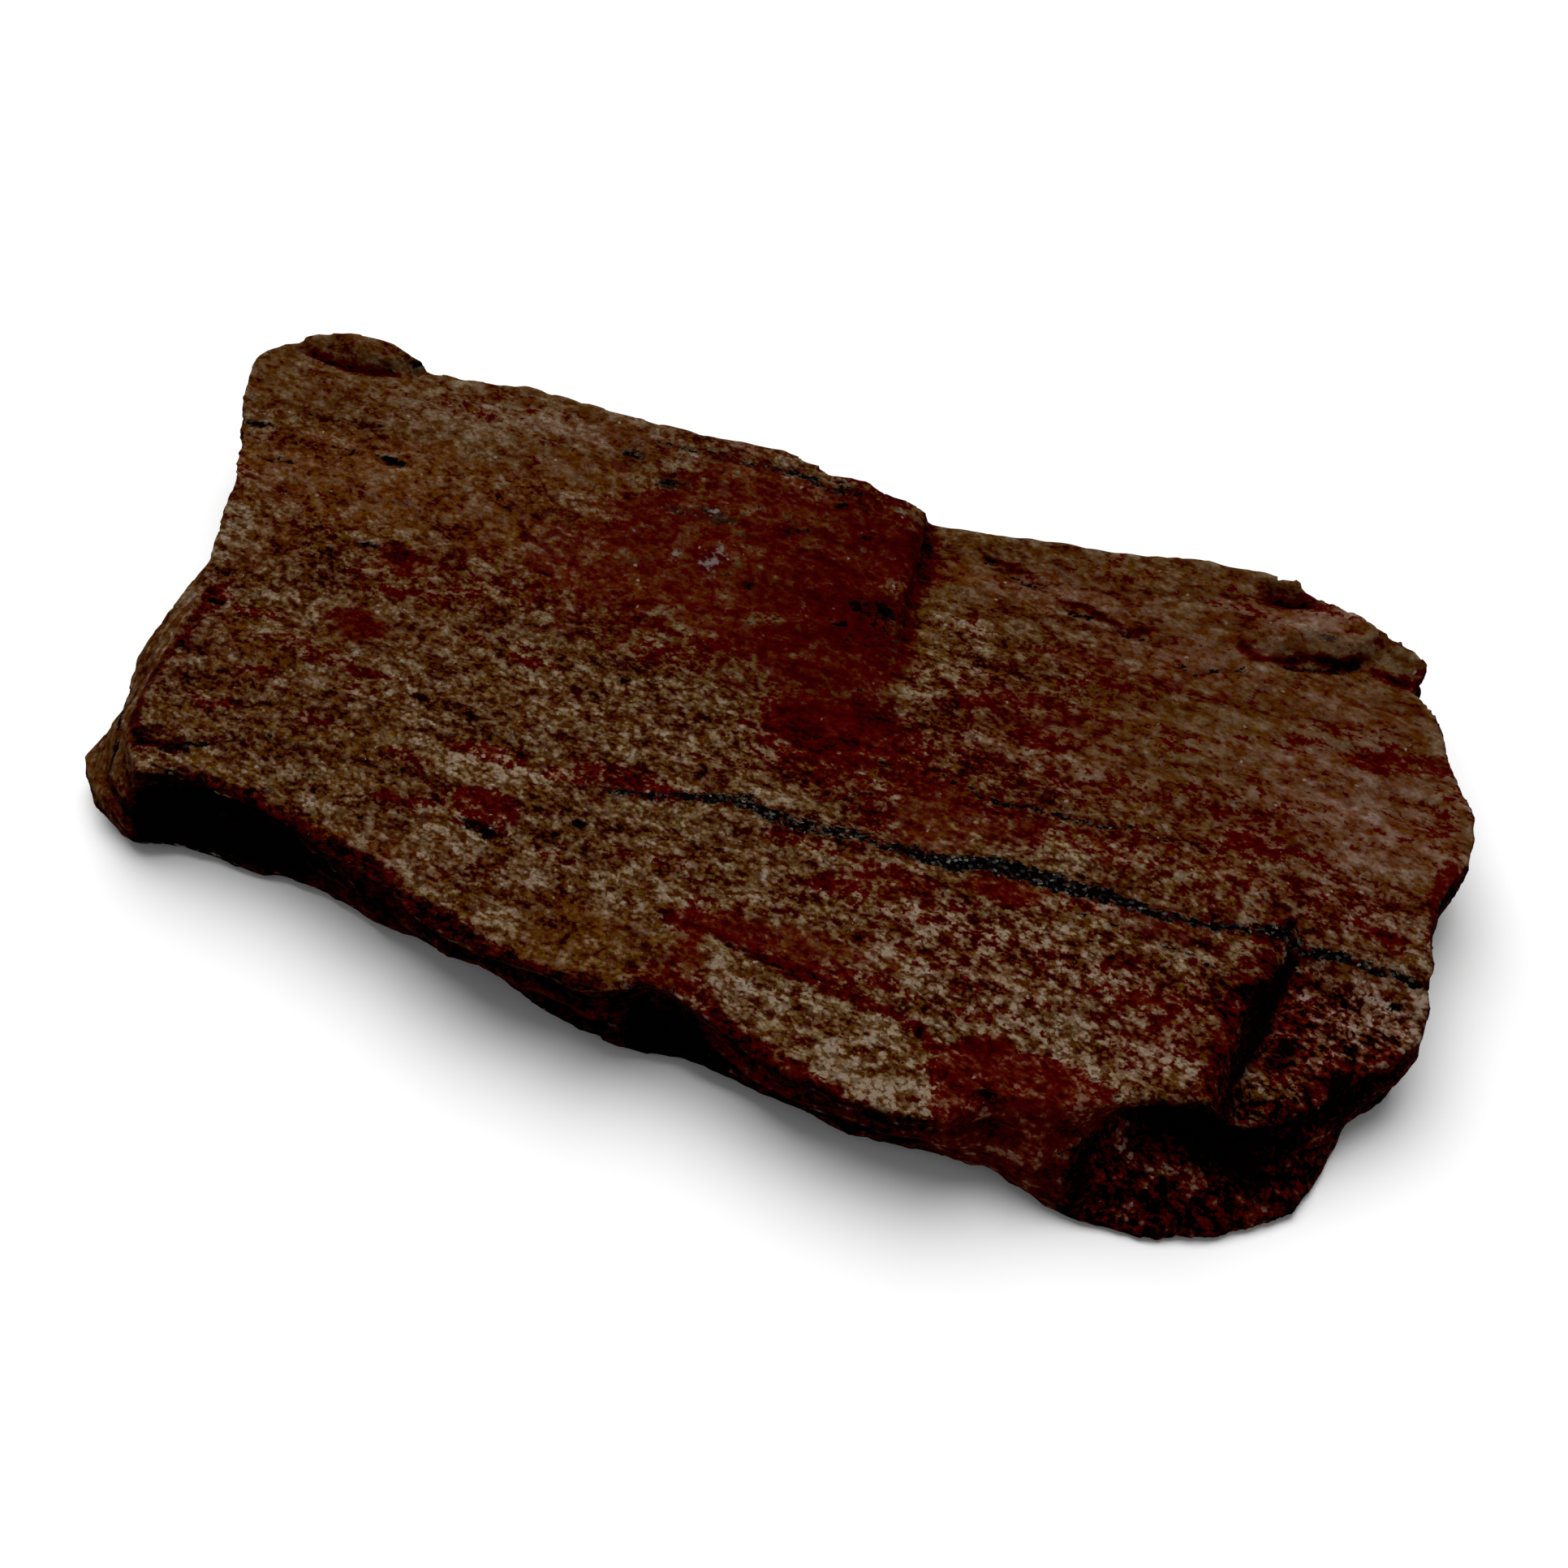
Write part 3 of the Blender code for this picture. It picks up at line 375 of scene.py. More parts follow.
BLUE_GREY = (
    (-17, 19.4, 1.4, 0.8, 0.7), (-12.6, 17.8, 1.6, 0.9, 0.8), (-9, 16.2, 1, 0.6, 0.9),
    (-10, 15.4, 5, 0.5, 0.66), (-5, 14.6, 2, 0.5, 0.7), (-3, 17, 0.8, 0.5, 0.5), (-9, 22, 7, 0.4, 0.5),
    (37, 21.4, 0.7, 0.4, 1), (5.6, 11.8, 1, 0.3, 0.8), (-27, -19.4, 0.8, 0.4, 0.8),
    (-14, 21.2, 3, 0.5, 0.4), (15.6, -8.1, 0.5, 0.3, 0.9),
)
QUARTZ = ((-7.4, 11.8, 0.9, 1.0, 0.95), (-10.3, 11.2, 0.28, 0.25, 1.0), (-9.0, 16.3, 0.5, 0.3, 0.8))
# Dark red lines: points, half width, how red and how much darker
RED_LINES = (
    (((49.2, -9.8), (47.2, -12), (45.4, -14.2), (43.8, -16.6), (42.4, -18.4)), 1.3, 0.9, 2),
    (((38.8, -4.6), (39.1, -8), (38.5, -11.8), (38.6, -14.6), (38.4, -19)), 1, 0.8, 1.5),
    (((-34, -19.9), (-28, -20.5), (-22.6, -21.1), (-18.6, -22.2), (-15.4, -22.7)), 0.75, 0.8, 2.8),
    (((-16.4, -22.5), (-12.6, -24.2), (-8, -25.4), (-3.6, -25.6), (1, -25.4)), 0.7, 0.8, 2.8),
    (
        ((-40.2, -4), (-39.8, -8.1), (-40, -11.4), (-39.8, -13.6), (-39, -16.6), (-37.4, -19)),
        0.45, 0.7, 2.4,
    ),
    (((4, -24), (6.4, -23.4), (9.4, -25.2), (13, -26.6), (18, -27.2)), 0.55, 0.9, 1.6),
    # Painted shadow: dark line along the foot of the raised block's slope
    (((5.2, 22.6), (6.2, 20.4), (6.9, 18), (7.2, 15), (7.8, 12), (8.2, 9.4), (8.6, 6.4)), 0.5, 1, 1.6),
    (((10.6, 21), (13.4, 20.7), (14.8, 19.8), (16.6, 20.2)), 0.2, 1, 3.6),
    (((17, 18.5), (19.2, 18.7), (22.4, 18), (24.2, 18.2)), 0.2, 1, 3.4),
    # Dark lines under the flake's edge at the back right: a crack, with painted shadow below the edge
    (((30.2, 19.6), (32, 18.4), (33.6, 19), (35.2, 19.8), (37.6, 20.4), (39.2, 21.8)), 0.26, 1, 3.4),
    (((39.6, 21.2), (41.6, 20.6), (43.2, 20.6)), 0.26, 1.1, 2.8),
    (((-46.6, 21.2), (-44.7, 20.8), (-42.4, 20.8), (-40.4, 21.2), (-38, 21.6)), 0.4, 1.3, 1.6),
    (((5.6, -18.9), (7.8, -19.1), (10.2, -19.6), (16, -20.3), (20.6, -20.9), (22.2, -22.4)), 0.4, 1, 1),
)
# Black gaps, and painted shadow on the face of the step at the right: points, half widths at the ends and
# in the middle, strength
BLACK_LINES = (
    # Painted shadow on the face of the step at the right, which faces away from the lamp
    (((39.6, -4.2), (40.4, -5.6), (40.7, -7.2)), (0.5, 0.6, 0.5), 0.9),
    (((40.6, -7.4), (40.2, -9.4), (40.1, -12), (39.9, -13.8)), (0.5, 0.9, 0.5), 0.95),
    (((39.9, -13.8), (39.5, -16.4), (39.6, -19.2)), (0.4, 0.4, 0.7), 0.85),
    (((-41.6, -12.6), (-41.5, -15.2), (-40.4, -18), (-40, -20.4)), (0.1, 0.3, 0.2), 0.8),
    (((-37.6, -18.8), (-35.8, -18.2), (-33.6, -17.6), (-31.4, -16.4)), (0.4, 0.35, 0.2), 0.8),
    (((-24, -15.1), (-20.2, -14.5), (-16.7, -13.8)), (0.1, 0.22, 0.1), 0.7),
    (((-35, -20.2), (-28, -20.9), (-22, -21.7), (-15.4, -23.2)), (0.3, 0.5, 0.5), 0.58),
    (((-16, -23), (-12, -24.7), (-7, -25.9), (1, -25.8)), (0.4, 0.5, 0.4), 0.58),
    (((-47.6, 12.2), (-44, 12.3), (-40.6, 11.8), (-36.4, 12.2)), (0.2, 0.3, 0.2), 0.56),
    (((-46.4, 15), (-43, 14.9), (-40, 14.5), (-36.2, 15.3)), (0.2, 0.34, 0.2), 0.6),
)
# The raised block's deep red end, whose far side is the foot of its slope
RED_END = (
    (-1.6, 24.6), (1.8, 24.6), (4.6, 23.6), (5.9, 21.2), (6.7, 18.1), (7.4, 14.4), (8, 11), (8.2, 8.4),
    (8.8, 6), (9.6, 4), (12.2, 2.8), (13, 0), (13.3, -4), (13.2, -7.4), (10.4, -7.4), (9.9, -5.2),
    (6.6, -5.4), (4.6, -3.2), (3, 0.4), (2.4, 3.4), (1, 7), (-1, 10), (-1.6, 14), (0.4, 17.6), (0.2, 20.6),
)
# The rusty part of the raised block, and the red shoulder at the front
RUST = (
    (-16, 17), (-9, 20.6), (-3, 21.6), (2, 22.4), (5, 22.4), (6.8, 18), (7.6, 12), (8.6, 6), (9.6, 3),
    (6, -1), (1, 1.6), (-4, 4), (-9, 5.6), (-14, 7), (-17, 11),
)
RED_SHOULDER = (
    (21.6, -22.6), (22.4, -21.5), (24.6, -19.4), (26.4, -20.2), (28.4, -19.6), (30.6, -19.3), (32, -20.4),
    (33.8, -20.8), (34.4, -22.4), (33.6, -25), (32, -27.6), (27, -28), (24.2, -27.6), (23, -25.4),
)
# The smooth pale lens at the front
LENS = (
    (5.4, -19.2), (7.6, -19.6), (10, -20.2), (16, -20.6), (20.4, -21.2), (22, -22.6), (22.6, -24),
    (24.6, -24.6), (24.8, -27.4), (20, -28.6), (14, -27.8), (11.8, -25.4), (9.6, -24), (7.2, -22.4),
    (5.6, -20.8),
)
# Lines of black iron ore: points, half widths at the ends and in the middle, strength
IRON_LINES = (
    (
        ((-6, -10.6), (-2, -9.9), (0, -9.2), (3, -8.3), (6, -8.6), (10, -8.2), (15, -8.1)),
        (0.3, 0.6, 0.44), 0.8,
    ),
    (((14, -8.1), (18, -7.7), (20, -7.3), (24, -6.9), (28, -6.8), (31, -6.8)), (0.44, 0.7, 0.52), 1.04),
    (((30.5, -6.9), (34, -6.3), (37, -5.8), (39, -5.2)), (0.46, 0.4, 0.4), 0.84),
    (((39, -5.3), (41, -5.5), (44, -5.3), (50, -5.2)), (0.5, 0.3, 0.34), 0.96),
    (((15, -1.1), (19, -1.8), (23, -1.4), (27, -0.9), (31, -0.8)), (0.2, 0.4, 0.2), 0.58),
    (((27, -8.6), (31, -8.9), (37, -9.3)), (0.1, 0.18, 0.1), 0.5),
    (((-16, 21), (-11, 21.8), (-8, 21.8), (-5, 22.2), (-1, 21.4)), (0.2, 0.4, 0.3), 0.6),
)
# Edge of the raised block's slope at the back, as pairs of y and x, and how far it is sharpened
SCARP_EDGE = ((4.0, 8.9), (8.0, 8.0), (12.0, 7.4), (16.0, 6.7), (20.0, 6.0), (24.0, 5.2))
SCARP_RISE = 0.50
SCARP_FALL = 0.15
# Thin cracks: points, half width, depth
CRACK_DARKNESS = 0.72
CRACKS = (
    (((-46.4, 14.9), (-43, 14.8), (-40.4, 14.4)), 0.16, 0.1),
    (((-38.8, 14.4), (-37.2, 15), (-36.2, 15.4)), 0.2, 0.18),
    (((-35.6, 12.6), (-34.4, 12.1), (-32.8, 12.5)), 0.32, 0.3),
    (((-47.4, 12.3), (-46, 12.1), (-45, 12.1)), 0.2, 0.15),
    (((-42.6, 11), (-41.6, 11.5), (-40.6, 11.7)), 0.18, 0.15),
    (((-38.2, 10.9), (-37.4, 11.9), (-36.4, 12.1)), 0.16, 0.12),
    (((-44.2, 8.9), (-42.6, 9.2), (-40.4, 9.5)), 0.2, 0.15),
    (((10.2, 20.8), (12.4, 20.2), (14.2, 19.4), (16.4, 19.6)), 0.2, 0.22),
    (((17.4, 18.1), (19, 17.7), (20.4, 18)), 0.24, 0.2),
    (((21.6, 16.9), (22.8, 17.4), (24.4, 17.3)), 0.2, 0.2),
    (((26.4, 15.8), (28, 14.7), (29.6, 16.2), (32.4, 17.3)), 0.18, 0.16),
    (((5.8, -19.1), (8, -19.6), (13, -20.2)), 0.22, 0.16),
    (((-3, 22.8), (0, 21.6), (1.8, 19.8)), 0.22, 0.2),
    (((-47, 21.4), (-44.7, 20.9), (-42.4, 20.9), (-40.4, 21.3), (-38, 21.8)), 0.25, 0.22),
    # Crack under the flake's edge, its darkness partly painted shadow
    (((33, 18.3), (35.8, 19.2), (37.9, 20), (39.6, 21.9)), 0.35, 0.3),
)

# Zones of the stone. Each limit has its axis, and where along it the zone begins and where it is full
X = 0
Y = 1
Z = 2
BELOW_LENS = ((Z, 7.1, 6.5), (Y, -19.4, -20.4), (X, 31.0, 29.0))
LEFT_FACET = ((Y, 0.5, -2.0), (X, -36.5, -37.5))
LEFT_LOBES = ((X, -37.2, -38.2), (Y, -12.0, -14.0), (Z, 6.2, 5.4))
LEFT_FOOT = ((X, -37.4, -38.2), (Z, 0.6, 1.4))
BACK = ((Y, 11.0, 17.0),)
RUSTY_BACK = ((X, -20.0, -12.0), (X, 8.0, 5.0))
RIGHT_BACK = ((X, 8.0, 30.0), (Y, -5.0, 6.0))
BLOCK_BACK = ((Y, 9.0, 14.0),)
FLAKE_TIP = ((X, 38.5, 40.5), (Y, 18.0, 19.5))
TERRACE = ((X, 40.0, 41.5), (Y, -6.0, -8.0))
FRONT_RIGHT = ((X, 14.0, 20.0), (Y, -9.0, -11.0))
TOE = ((X, 30.0, 33.0), (Y, -13.5, -15.5), (Z, 5.4, 4.6))
TOE_LEFT_PART = ((X, 45.0, 42.0),)
LEFT_NOTCH = ((X, -37.2, -36.2), (X, -21.0, -25.0), (Z, 0.9, 1.5))
MIDDLE_NOTCH = ((X, 1.0, 2.4), (X, 8.6, 6.4), (Y, -23.0, -24.0))
NOTCH_DEPTH = ((Z, 5.4, 4.6),)
FRONT = ((Y, -14.0, -17.0),)
# Where glints are painted along the left foot
WHITE_SPECKS = ((X, -37.6, -36.6), (X, -28.5, -31.0), (Z, 1.6, 1.0))

# How far markings wander along x and y, as shares of the slow noise
OVAL_WANDER = (1.2, 0.5)
EDGE_WANDER = (0.35, 0.35)
RUST_WANDER = (1.5, 1.5)
GAP_WANDER = (0.45, 0.45)
IRON_WANDER = (0.1, 0.35)
CRACK_WANDER = (0.35, 0.0)
IRON_RAGGEDNESS = 0.16

# How soft the shaped areas' outlines are, in millimetres
RED_END_EDGE = 0.8
RUST_EDGE = 2.4
SHOULDER_EDGE = 0.5
LENS_EDGE = 0.4

# How strongly the shaped areas and the sides take each colour
RED_END_RED = 0.60
RUST_RED = 0.38
SHOULDER_RED = 1.15
LENS_RED = -0.3
SIDE_RED = 0.5
UNDER_RED = 0.30
UNDER_BANDS = 0.5
RUST_ORANGE = 0.8
SIDE_ORANGE = 0.4
LOBE_GOLD = 0.7
SIDE_PINK = 0.3
LENS_PALE = 1.1
RED_END_PALE = -0.5
SHOULDER_PALE = 0.2
UNDER_PALE = 0.3
RED_SPOTS = 0.16
# How strong the painted glints along the left foot are
FOOT_GLINT_STRENGTH = 0.62
# Painted shade: how black the front notches and the recess behind the toe are, how dark the toe is, and how
# much of it the left foot loses
NOTCH_SHADE = 0.9
NOTCH_MOTTLING = 0.5
RECESS_SHADE = 0.82
TOE_SHADE = 0.80
LEFT_FOOT_LIGHT = 0.6

# How fine the grain is in each part of the stone, and how rough in others
BACK_SMOOTH = 0.8
RUSTY_BACK_ROUGH = 0.7
RIGHT_BACK_SMOOTH = 1.0
FACET_SMOOTH = 0.9
GLOWING_SMOOTH = 0.5
RUST_SMOOTH = 0.95
SIDE_SMOOTH = 0.3
FRONT_RIGHT_ROUGH = 0.3
TOE_ROUGH = 1.6
ROUGHNESS_SHARE = 0.8

# Numbers stored on the mesh for the material
FIELDS = (
    "red", "orange", "ochre", "gold", "pink", "pale", "black_and_shade", "blue", "quartz", "iron",
    "smooth", "side", "shade", "hollow_shade", "facet",
)
# Noises of the stone: how many for each millimetre along x, y and z, turn, detail, roughness, distortion
NOISES = {
    "fine": ((4.2, 4.8, 4.8), GRAIN_DEGREES, 1.0, 0.7, 0.0),
    "lace": ((1.5, 2.1, 2.1), GRAIN_DEGREES, 1.0, 0.8, 0.0),
    "fleck": ((0.66, 1.00, 1.00), GRAIN_DEGREES, 1.0, 0.7, 0.0),
    "tint": ((0.8, 1.2, 0.9), GRAIN_DEGREES, 1.0, 0.7, 0.0),
    "patches": ((0.20, 0.58, 0.58), -STREAK_DEGREES, 1.0, 0.6, 0.0),
    "bands": ((0.05, 0.34, 0.34), -STREAK_DEGREES, 2.0, 0.5, 0.0),
    "streak": ((0.14, 1.10, 1.10), -STREAK_DEGREES, 1.0, 0.5, 0.3),
    "facet_lines": ((2.4, 0.22, 1.6), 0.0, 2.0, 0.6, 0.3),
    "strata": ((0.07, 0.07, 1.25), 0.0, 3.0, 0.6, 0.4),
}
GRAINS_PER_MM = (2.8, 3.5, 3.5)
GRAIN_SWAY = 0.6
SWAY_SCALE = 1.3
IRON_GRAINS_PER_MM = (4.5, 5.4, 5.4)
GLINTS_PER_MM = (5.0, 5.0, 5.0)

# Sums of named values: their weights, and for some the number that they start from
SPECKLE = {"fleck": 0.80, "blotch": 0.09, "patches": 0.70}
SPARKLE = {"grain_tone": 0.32, "seam": -0.13, "fine": 0.14, "lace": 0.48, "crumb": 0.22}
ZONING = {"lace": 0.8, "fleck": 0.9, "patches": 0.8, "grain_hue": 0.50}
BUMP_HEIGHT = {"grain_tone": 0.3, "fine": 1.6, "lace": 1.2, "fleck": 0.8}
CONTRAST = ({"smooth": -0.30}, 0.96)
FINE_CONTRAST = ({"smooth": -0.60}, 0.90)
# Among the value's weights, painted shade darkens the front, the right end, the toe and the hollows, and
# painted light brightens the ridges
VALUE = ({
    "speckle": 1.0, "sparkle": 1.0, "bands": 0.25, "lines": -0.10, "facet_streaks": 0.9, "pale": 0.15,
    "smooth": 0.045, "layers": 1.3, "shade": -0.42, "side": -0.08, "hollow_shade": -0.22,
}, 0.415)
HUE = ({"grain_dust": 0.016, "tint": 0.030}, 0.502)
VIVIDNESS = ({"grain_hue": 0.24, "fleck": -0.24}, 1.01)
RED_VALUE = ({"value": 1.0, "pale": -0.03, "orange": 0.05}, 0.04)
STONE_ROUGHNESS = ({"fine": 0.3, "iron_share": -0.12}, 0.78)

# Shares that follow a sum: its weights, and where the step from 0 to 1 begins and ends
CRUMB = ({"lace": 1.0, "fine": 0.5, "grain_tone": 0.16}, (-0.07, 0.04))
BLOTCH = ({"fleck": 1.0, "lace": 0.4}, (-0.05, 0.06))
LINE_BREAKS = ({"patches": 1.0, "fleck": 0.4}, (0.02, -0.08))
REDNESS = ({
    "red": 1.0, "zoning": -1.0, "fine": -0.5, "layers": 1.6, "lines": 0.24, "crumb": -0.22, "tint": 0.9,
}, (0.18, 0.46))
BLUENESS = ({"blue": 1.0, "zoning": 0.9}, (0.40, 0.90))
QUARTZ_SHARE = ({"quartz": 1.0, "fleck": 1.2, "lace": 1.6, "grain_tone": 0.6}, (0.50, 0.95))
BLACKNESS = ({"black_and_shade": 1.0, "zoning": 0.8, "grain_tone": 0.3}, (0.42, 0.75))
IRON_SHARE = ({"iron": 1.0, "zoning": 0.9, "grain_tone": 0.5}, (0.44, 0.64))

# Where other steps from 0 to 1 begin and end
SEAM_EDGES = (0.34, 0.66)
LINE_EDGES = (0.035, 0.0)
BLUE_REACH = (0.1, 0.4)
IRON_REACH = (0.05, 0.3)
GLINT_EDGES = (0.9985, 0.999)
GLINT_LIGHT = (0.3, 0.5)

# Tones laid over the khaki one, and the share of each: its sum's weights and its step
TONE_LAYERS = (
    (PINK_TONES, {"pink": 1.0, "grain_hue": 0.7, "tint": 0.6, "bands": 0.6}, (0.20, 0.90)),
    (GOLD_TONES, {"gold": 1.0, "zoning": 0.6}, (0.30, 0.80)),
    (OCHRE_TONES, {"ochre": 1.0, "zoning": -0.6, "tint": 1.4}, (0.24, 0.76)),
    (ORANGE_TONES, {"orange": 1.0, "zoning": -0.7, "tint": -1.4, "bands": 0.4}, (0.36, 0.72)),
)
BLUE_STRENGTH = 0.75
QUARTZ_STRENGTH = 0.9
GLINT_STRENGTH = 0.4
STONE_SHINE = 0.003
BUMP_STRENGTH = 0.5
BUMP_DISTANCE = 0.10


def eased(points, edges, passes):
    """Points moved towards the middle of their neighbours."""
    count = np.bincount(edges.ravel(), minlength=len(points)).astype(float)
    for _ in range(passes):
        total = np.zeros_like(points)
        for axis in range(3):
            total[:, axis] += np.bincount(edges[:, 0], points[edges[:, 1], axis], len(points))
            total[:, axis] += np.bincount(edges[:, 1], points[edges[:, 0], axis], len(points))
        points = 0.5 * points + 0.5 * total / count[:, None]
    return points


def stored(items, key, width, kind=float):
    """Numbers that a mesh stores for its points or edges, one row for each."""
    values = np.zeros(len(items) * width, kind)
    items.foreach_get(key, values)
    return values.reshape(-1, width)


def vertex_normals(data):
    """Normals of a mesh as an array."""
    return stored(data.vertex_normals, "vector", 3)


def vertex_points(data):
    """Points of a mesh in millimetres."""
    return stored(data.vertices, "co", 3) / MM


def edge_ends(data):
    """The two point numbers of each edge."""
    return stored(data.edges, "vertices", 2, np.int64)


def set_points(data, points):
    """Writes points in millimetres back to a mesh."""
    data.vertices.foreach_set("co", (points * MM).ravel())
    data.update()


def fine_copy(node):
    """A dense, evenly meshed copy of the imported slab."""
    stone = bpy.data.objects.new("jasper_stone", node.data.copy())
    bpy.context.scene.collection.objects.link(stone)
    stone.data.materials.clear()
    remesh = stone.modifiers.new("Remesh", "REMESH")
    remesh.mode = "VOXEL"
    remesh.voxel_size = VOXEL * MM
    remesh.use_smooth_shade = True
    bpy.context.view_layer.update()
    fine = bpy.data.meshes.new_from_object(stone.evaluated_get(bpy.context.evaluated_depsgraph_get()))
    stone.modifiers.clear()
    stone.data = fine
    fine.name = "jasper_stone"
    return stone


def top_relief(points):
    """Ledges along the streaks, grain and pits of the top, in millimetres."""
    bed = bedding(points)
    relief = TOP_LEDGE * ledges(layered_noise(bed * (0.09, 0.42, 0.3), seed=9), 2.2, 0.16)
    relief += TOP_BUMP * cell_noise(bed * (0.5, 1.1, 1.1), seed=5)
    relief += TOP_GRAIN * cell_noise(bed * (1.1, 1.7, 1.7), seed=6)
    pits = soft_step(0.45, 0.8, cell_noise(bed * (0.7, 1.2, 1.2), seed=14))
    return relief - TOP_PIT * pits


def side_relief(points):
    """Broken layers of the sides, in millimetres."""
    height = points[:, Z] + 0.5 * cell_noise(points * 0.12, seed=21)
    height = height + 0.3 * cell_noise(points * 0.4, seed=22)
    plan = points[:, :Z]
    layers = np.concatenate([(height * 1.25)[:, None], plan * 0.05], axis=1)
    thin = np.concatenate([(height * 2.4)[:, None], plan * 0.09], axis=1)
    chips = points * (0.35, 0.35, 0.6)
    relief = SIDE_LAYER * ledges(cell_noise(layers, seed=31), 1.6, 0.2)
    relief += SIDE_THIN_LAYER * ledges(cell_noise(thin, seed=33), 1.5, 0.25)
    relief += SIDE_CHIP * ledges(layered_noise(chips, seed=41), 2.0, 0.2)
    relief += SIDE_GRAIN * cell_noise(points * (1.2, 1.2, 1.6), seed=43)
    return relief - SIDE_SINK


def scarp_relief(points):
    """The raised block's far back corner standing up to a crisp edge, in millimetres."""
    x = points[:, X]
    edge = np.interp(points[:, Y], *zip(*SCARP_EDGE)) + 0.3 * cell_noise(points * 0.5, seed=81)
    rise = soft_step(edge - 5.0, edge - 1.0, x) * soft_step(edge + 0.2, edge - 0.6, x)
    fall = soft_step(edge - 0.4, edge + 0.4, x) * soft_step(edge + 3.0, edge + 0.6, x)
    return (SCARP_RISE * rise - SCARP_FALL * fall) * within(points, BLOCK_BACK)


def surface_relief(points, normals):
    """How far each point moves out along its normal, in millimetres."""
    top = soft_step(0.45, 0.8, normals[:, Z])
    under = soft_step(0.6, 0.9, -normals[:, Z])
    side = 1.0 - top - under
    relief = top * top_relief(points) + side * side_relief(points)
    relief += under * (UNDER_GRAIN * cell_noise(points * 0.9, seed=51) - UNDER_SINK)
    relief += (1.0 - under) * scarp_relief(points)
    relief *= 1.0 - TIP_CALM * within(points, FLAKE_TIP)
    for line, width, depth in CRACKS:
        distance, along = from_line(points[:, X], points[:, Y], line)
        relief -= top * depth * tapered(along, 0.25) * np.exp(-(distance / width) ** 2)
    return relief


def keep_inside(points, low, high):
    """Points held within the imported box."""
    return np.clip(points, np.array(low) / MM + BOX_GAP, np.array(high) / MM - BOX_GAP)


def hollows(points, normals, edges):
    """How far each point lies below its neighbourhood, from -1 to 1."""
    around = eased(points, edges, HOLLOW_PASSES)
    return np.clip(HOLLOW_SCALE * ((around - points) * normals).sum(axis=1), -1.0, 1.0)


def paint(data, name, values):
    """Stores one number for each point of the mesh, for the material to read."""
    layer = data.attributes.new(name, "FLOAT", "POINT")
    layer.data.foreach_set("value", values.astype(np.float32))


def line_strength(x, y, lines):
    """Strength of lines whose width changes along them."""
    found = np.zeros(len(x))
    for line, widths, strength in lines:
        distance, along = from_line(x, y, line)
        width = np.interp(along, (0.0, 0.5, 1.0), widths)
        found = np.maximum(found, strength * faded(distance / width))
    return found


def crack_strength(x, y):
    """Darkness of the thin cracks at each point."""
    found = np.zeros(len(x))
    for line, width, _ in CRACKS:
        distance, along = from_line(x, y, line)
        found = np.maximum(found, CRACK_DARKNESS * tapered(along, 0.15) * faded(distance / width))
    return found


def red_line_strength(x, y):
    """How red, and how much darker, the dark red lines make each point."""
    red = np.zeros(len(x))
    dark = np.zeros(len(x))
    for line, width, redness, darkness in RED_LINES:
        distance, along = from_line(x, y, line)
        share = faded(distance / width) * np.clip(tapered(along, 0.06) + 0.3, 0.0, 1.0)
        red = np.maximum(red, redness * share)
        dark = np.maximum(dark, darkness * share)
    return red, dark


def highest(*values):
    """The highest of several values at each point."""
    return np.maximum.reduce(values)


class Surface:
    """The mesh's points in millimetres, how markings wander there, and which way the stone faces."""

    def __init__(self, data):
        self.points = vertex_points(data)
        self.sway = wander(self.points, seed=61)
        self.drift = wander(self.points, seed=63)
        edges = edge_ends(data)
        normals = vertex_normals(data)
        # How deep each point lies in a hollow, for painted shade in hollows and painted light on ridges
        self.hollow_shade = hollows(self.points, normals, edges)
        facing = eased(normals, edges, BROAD_PASSES)
        facing /= np.linalg.norm(facing, axis=1, keepdims=True)
        self.top = soft_step(0.25, 0.70, facing[:, Z])
        self.under = soft_step(0.15, 0.55, -facing[:, Z])
        self.side = 1.0 - self.top - self.under
        below = self.zone(BELOW_LENS)
        self.top *= 1.0 - below
        self.side = np.maximum(self.side, below)
        self.front = np.maximum(soft_step(0.1, 0.5, -facing[:, Y]), below) * self.side
        self.right = soft_step(0.2, 0.7, facing[:, X]) * self.side
        self.facet = soft_step(0.25, 0.5, -facing[:, X]) * soft_step(-0.80, -0.60, facing[:, Y])
        self.facet *= self.zone(LEFT_FACET)

    def zone(self, limits):
        """Share of a zone at each point."""
        return within(self.points, limits)

    def wandered(self, amounts):
        """Plan places of the points, pushed about by the slow noise."""
        along, across = amounts
        return self.points[:, X] + along * self.sway, self.points[:, Y] + across * self.drift

    def ovals(self, patches):
        """Strength of a list of ovals at each point."""
        return strongest(*self.wandered(OVAL_WANDER), patches)

    def shape(self, outline, amounts, softness):
        """Share of a closed outline at each point."""
        return inside_shape(*self.wandered(amounts), outline, softness)


def smoothness(stone, rust, toe):
    """How fine the grain is at each point, below 0 where it is rough."""
    back = stone.zone(BACK) * (1.0 - RUSTY_BACK_ROUGH * stone.zone(RUSTY_BACK))
    glowing = strongest(stone.points[:, X], stone.points[:, Y], ORANGE)
    glowing = np.clip(glowing + strongest(stone.points[:, X], stone.points[:, Y], OCHRE), 0.0, 1.0)
    smooth = highest(
        BACK_SMOOTH * back, RIGHT_BACK_SMOOTH * stone.zone(RIGHT_BACK), FACET_SMOOTH * stone.facet,
        GLOWING_SMOOTH * glowing, RUST_SMOOTH * rust,
    )
    rough = highest(stone.zone(TERRACE), FRONT_RIGHT_ROUGH * stone.zone(FRONT_RIGHT), TOE_ROUGH * toe)
    smooth = stone.top * smooth + stone.side * SIDE_SMOOTH * (1.0 - stone.facet)
    return smooth + FACET_SMOOTH * stone.facet * stone.side - ROUGHNESS_SHARE * rough


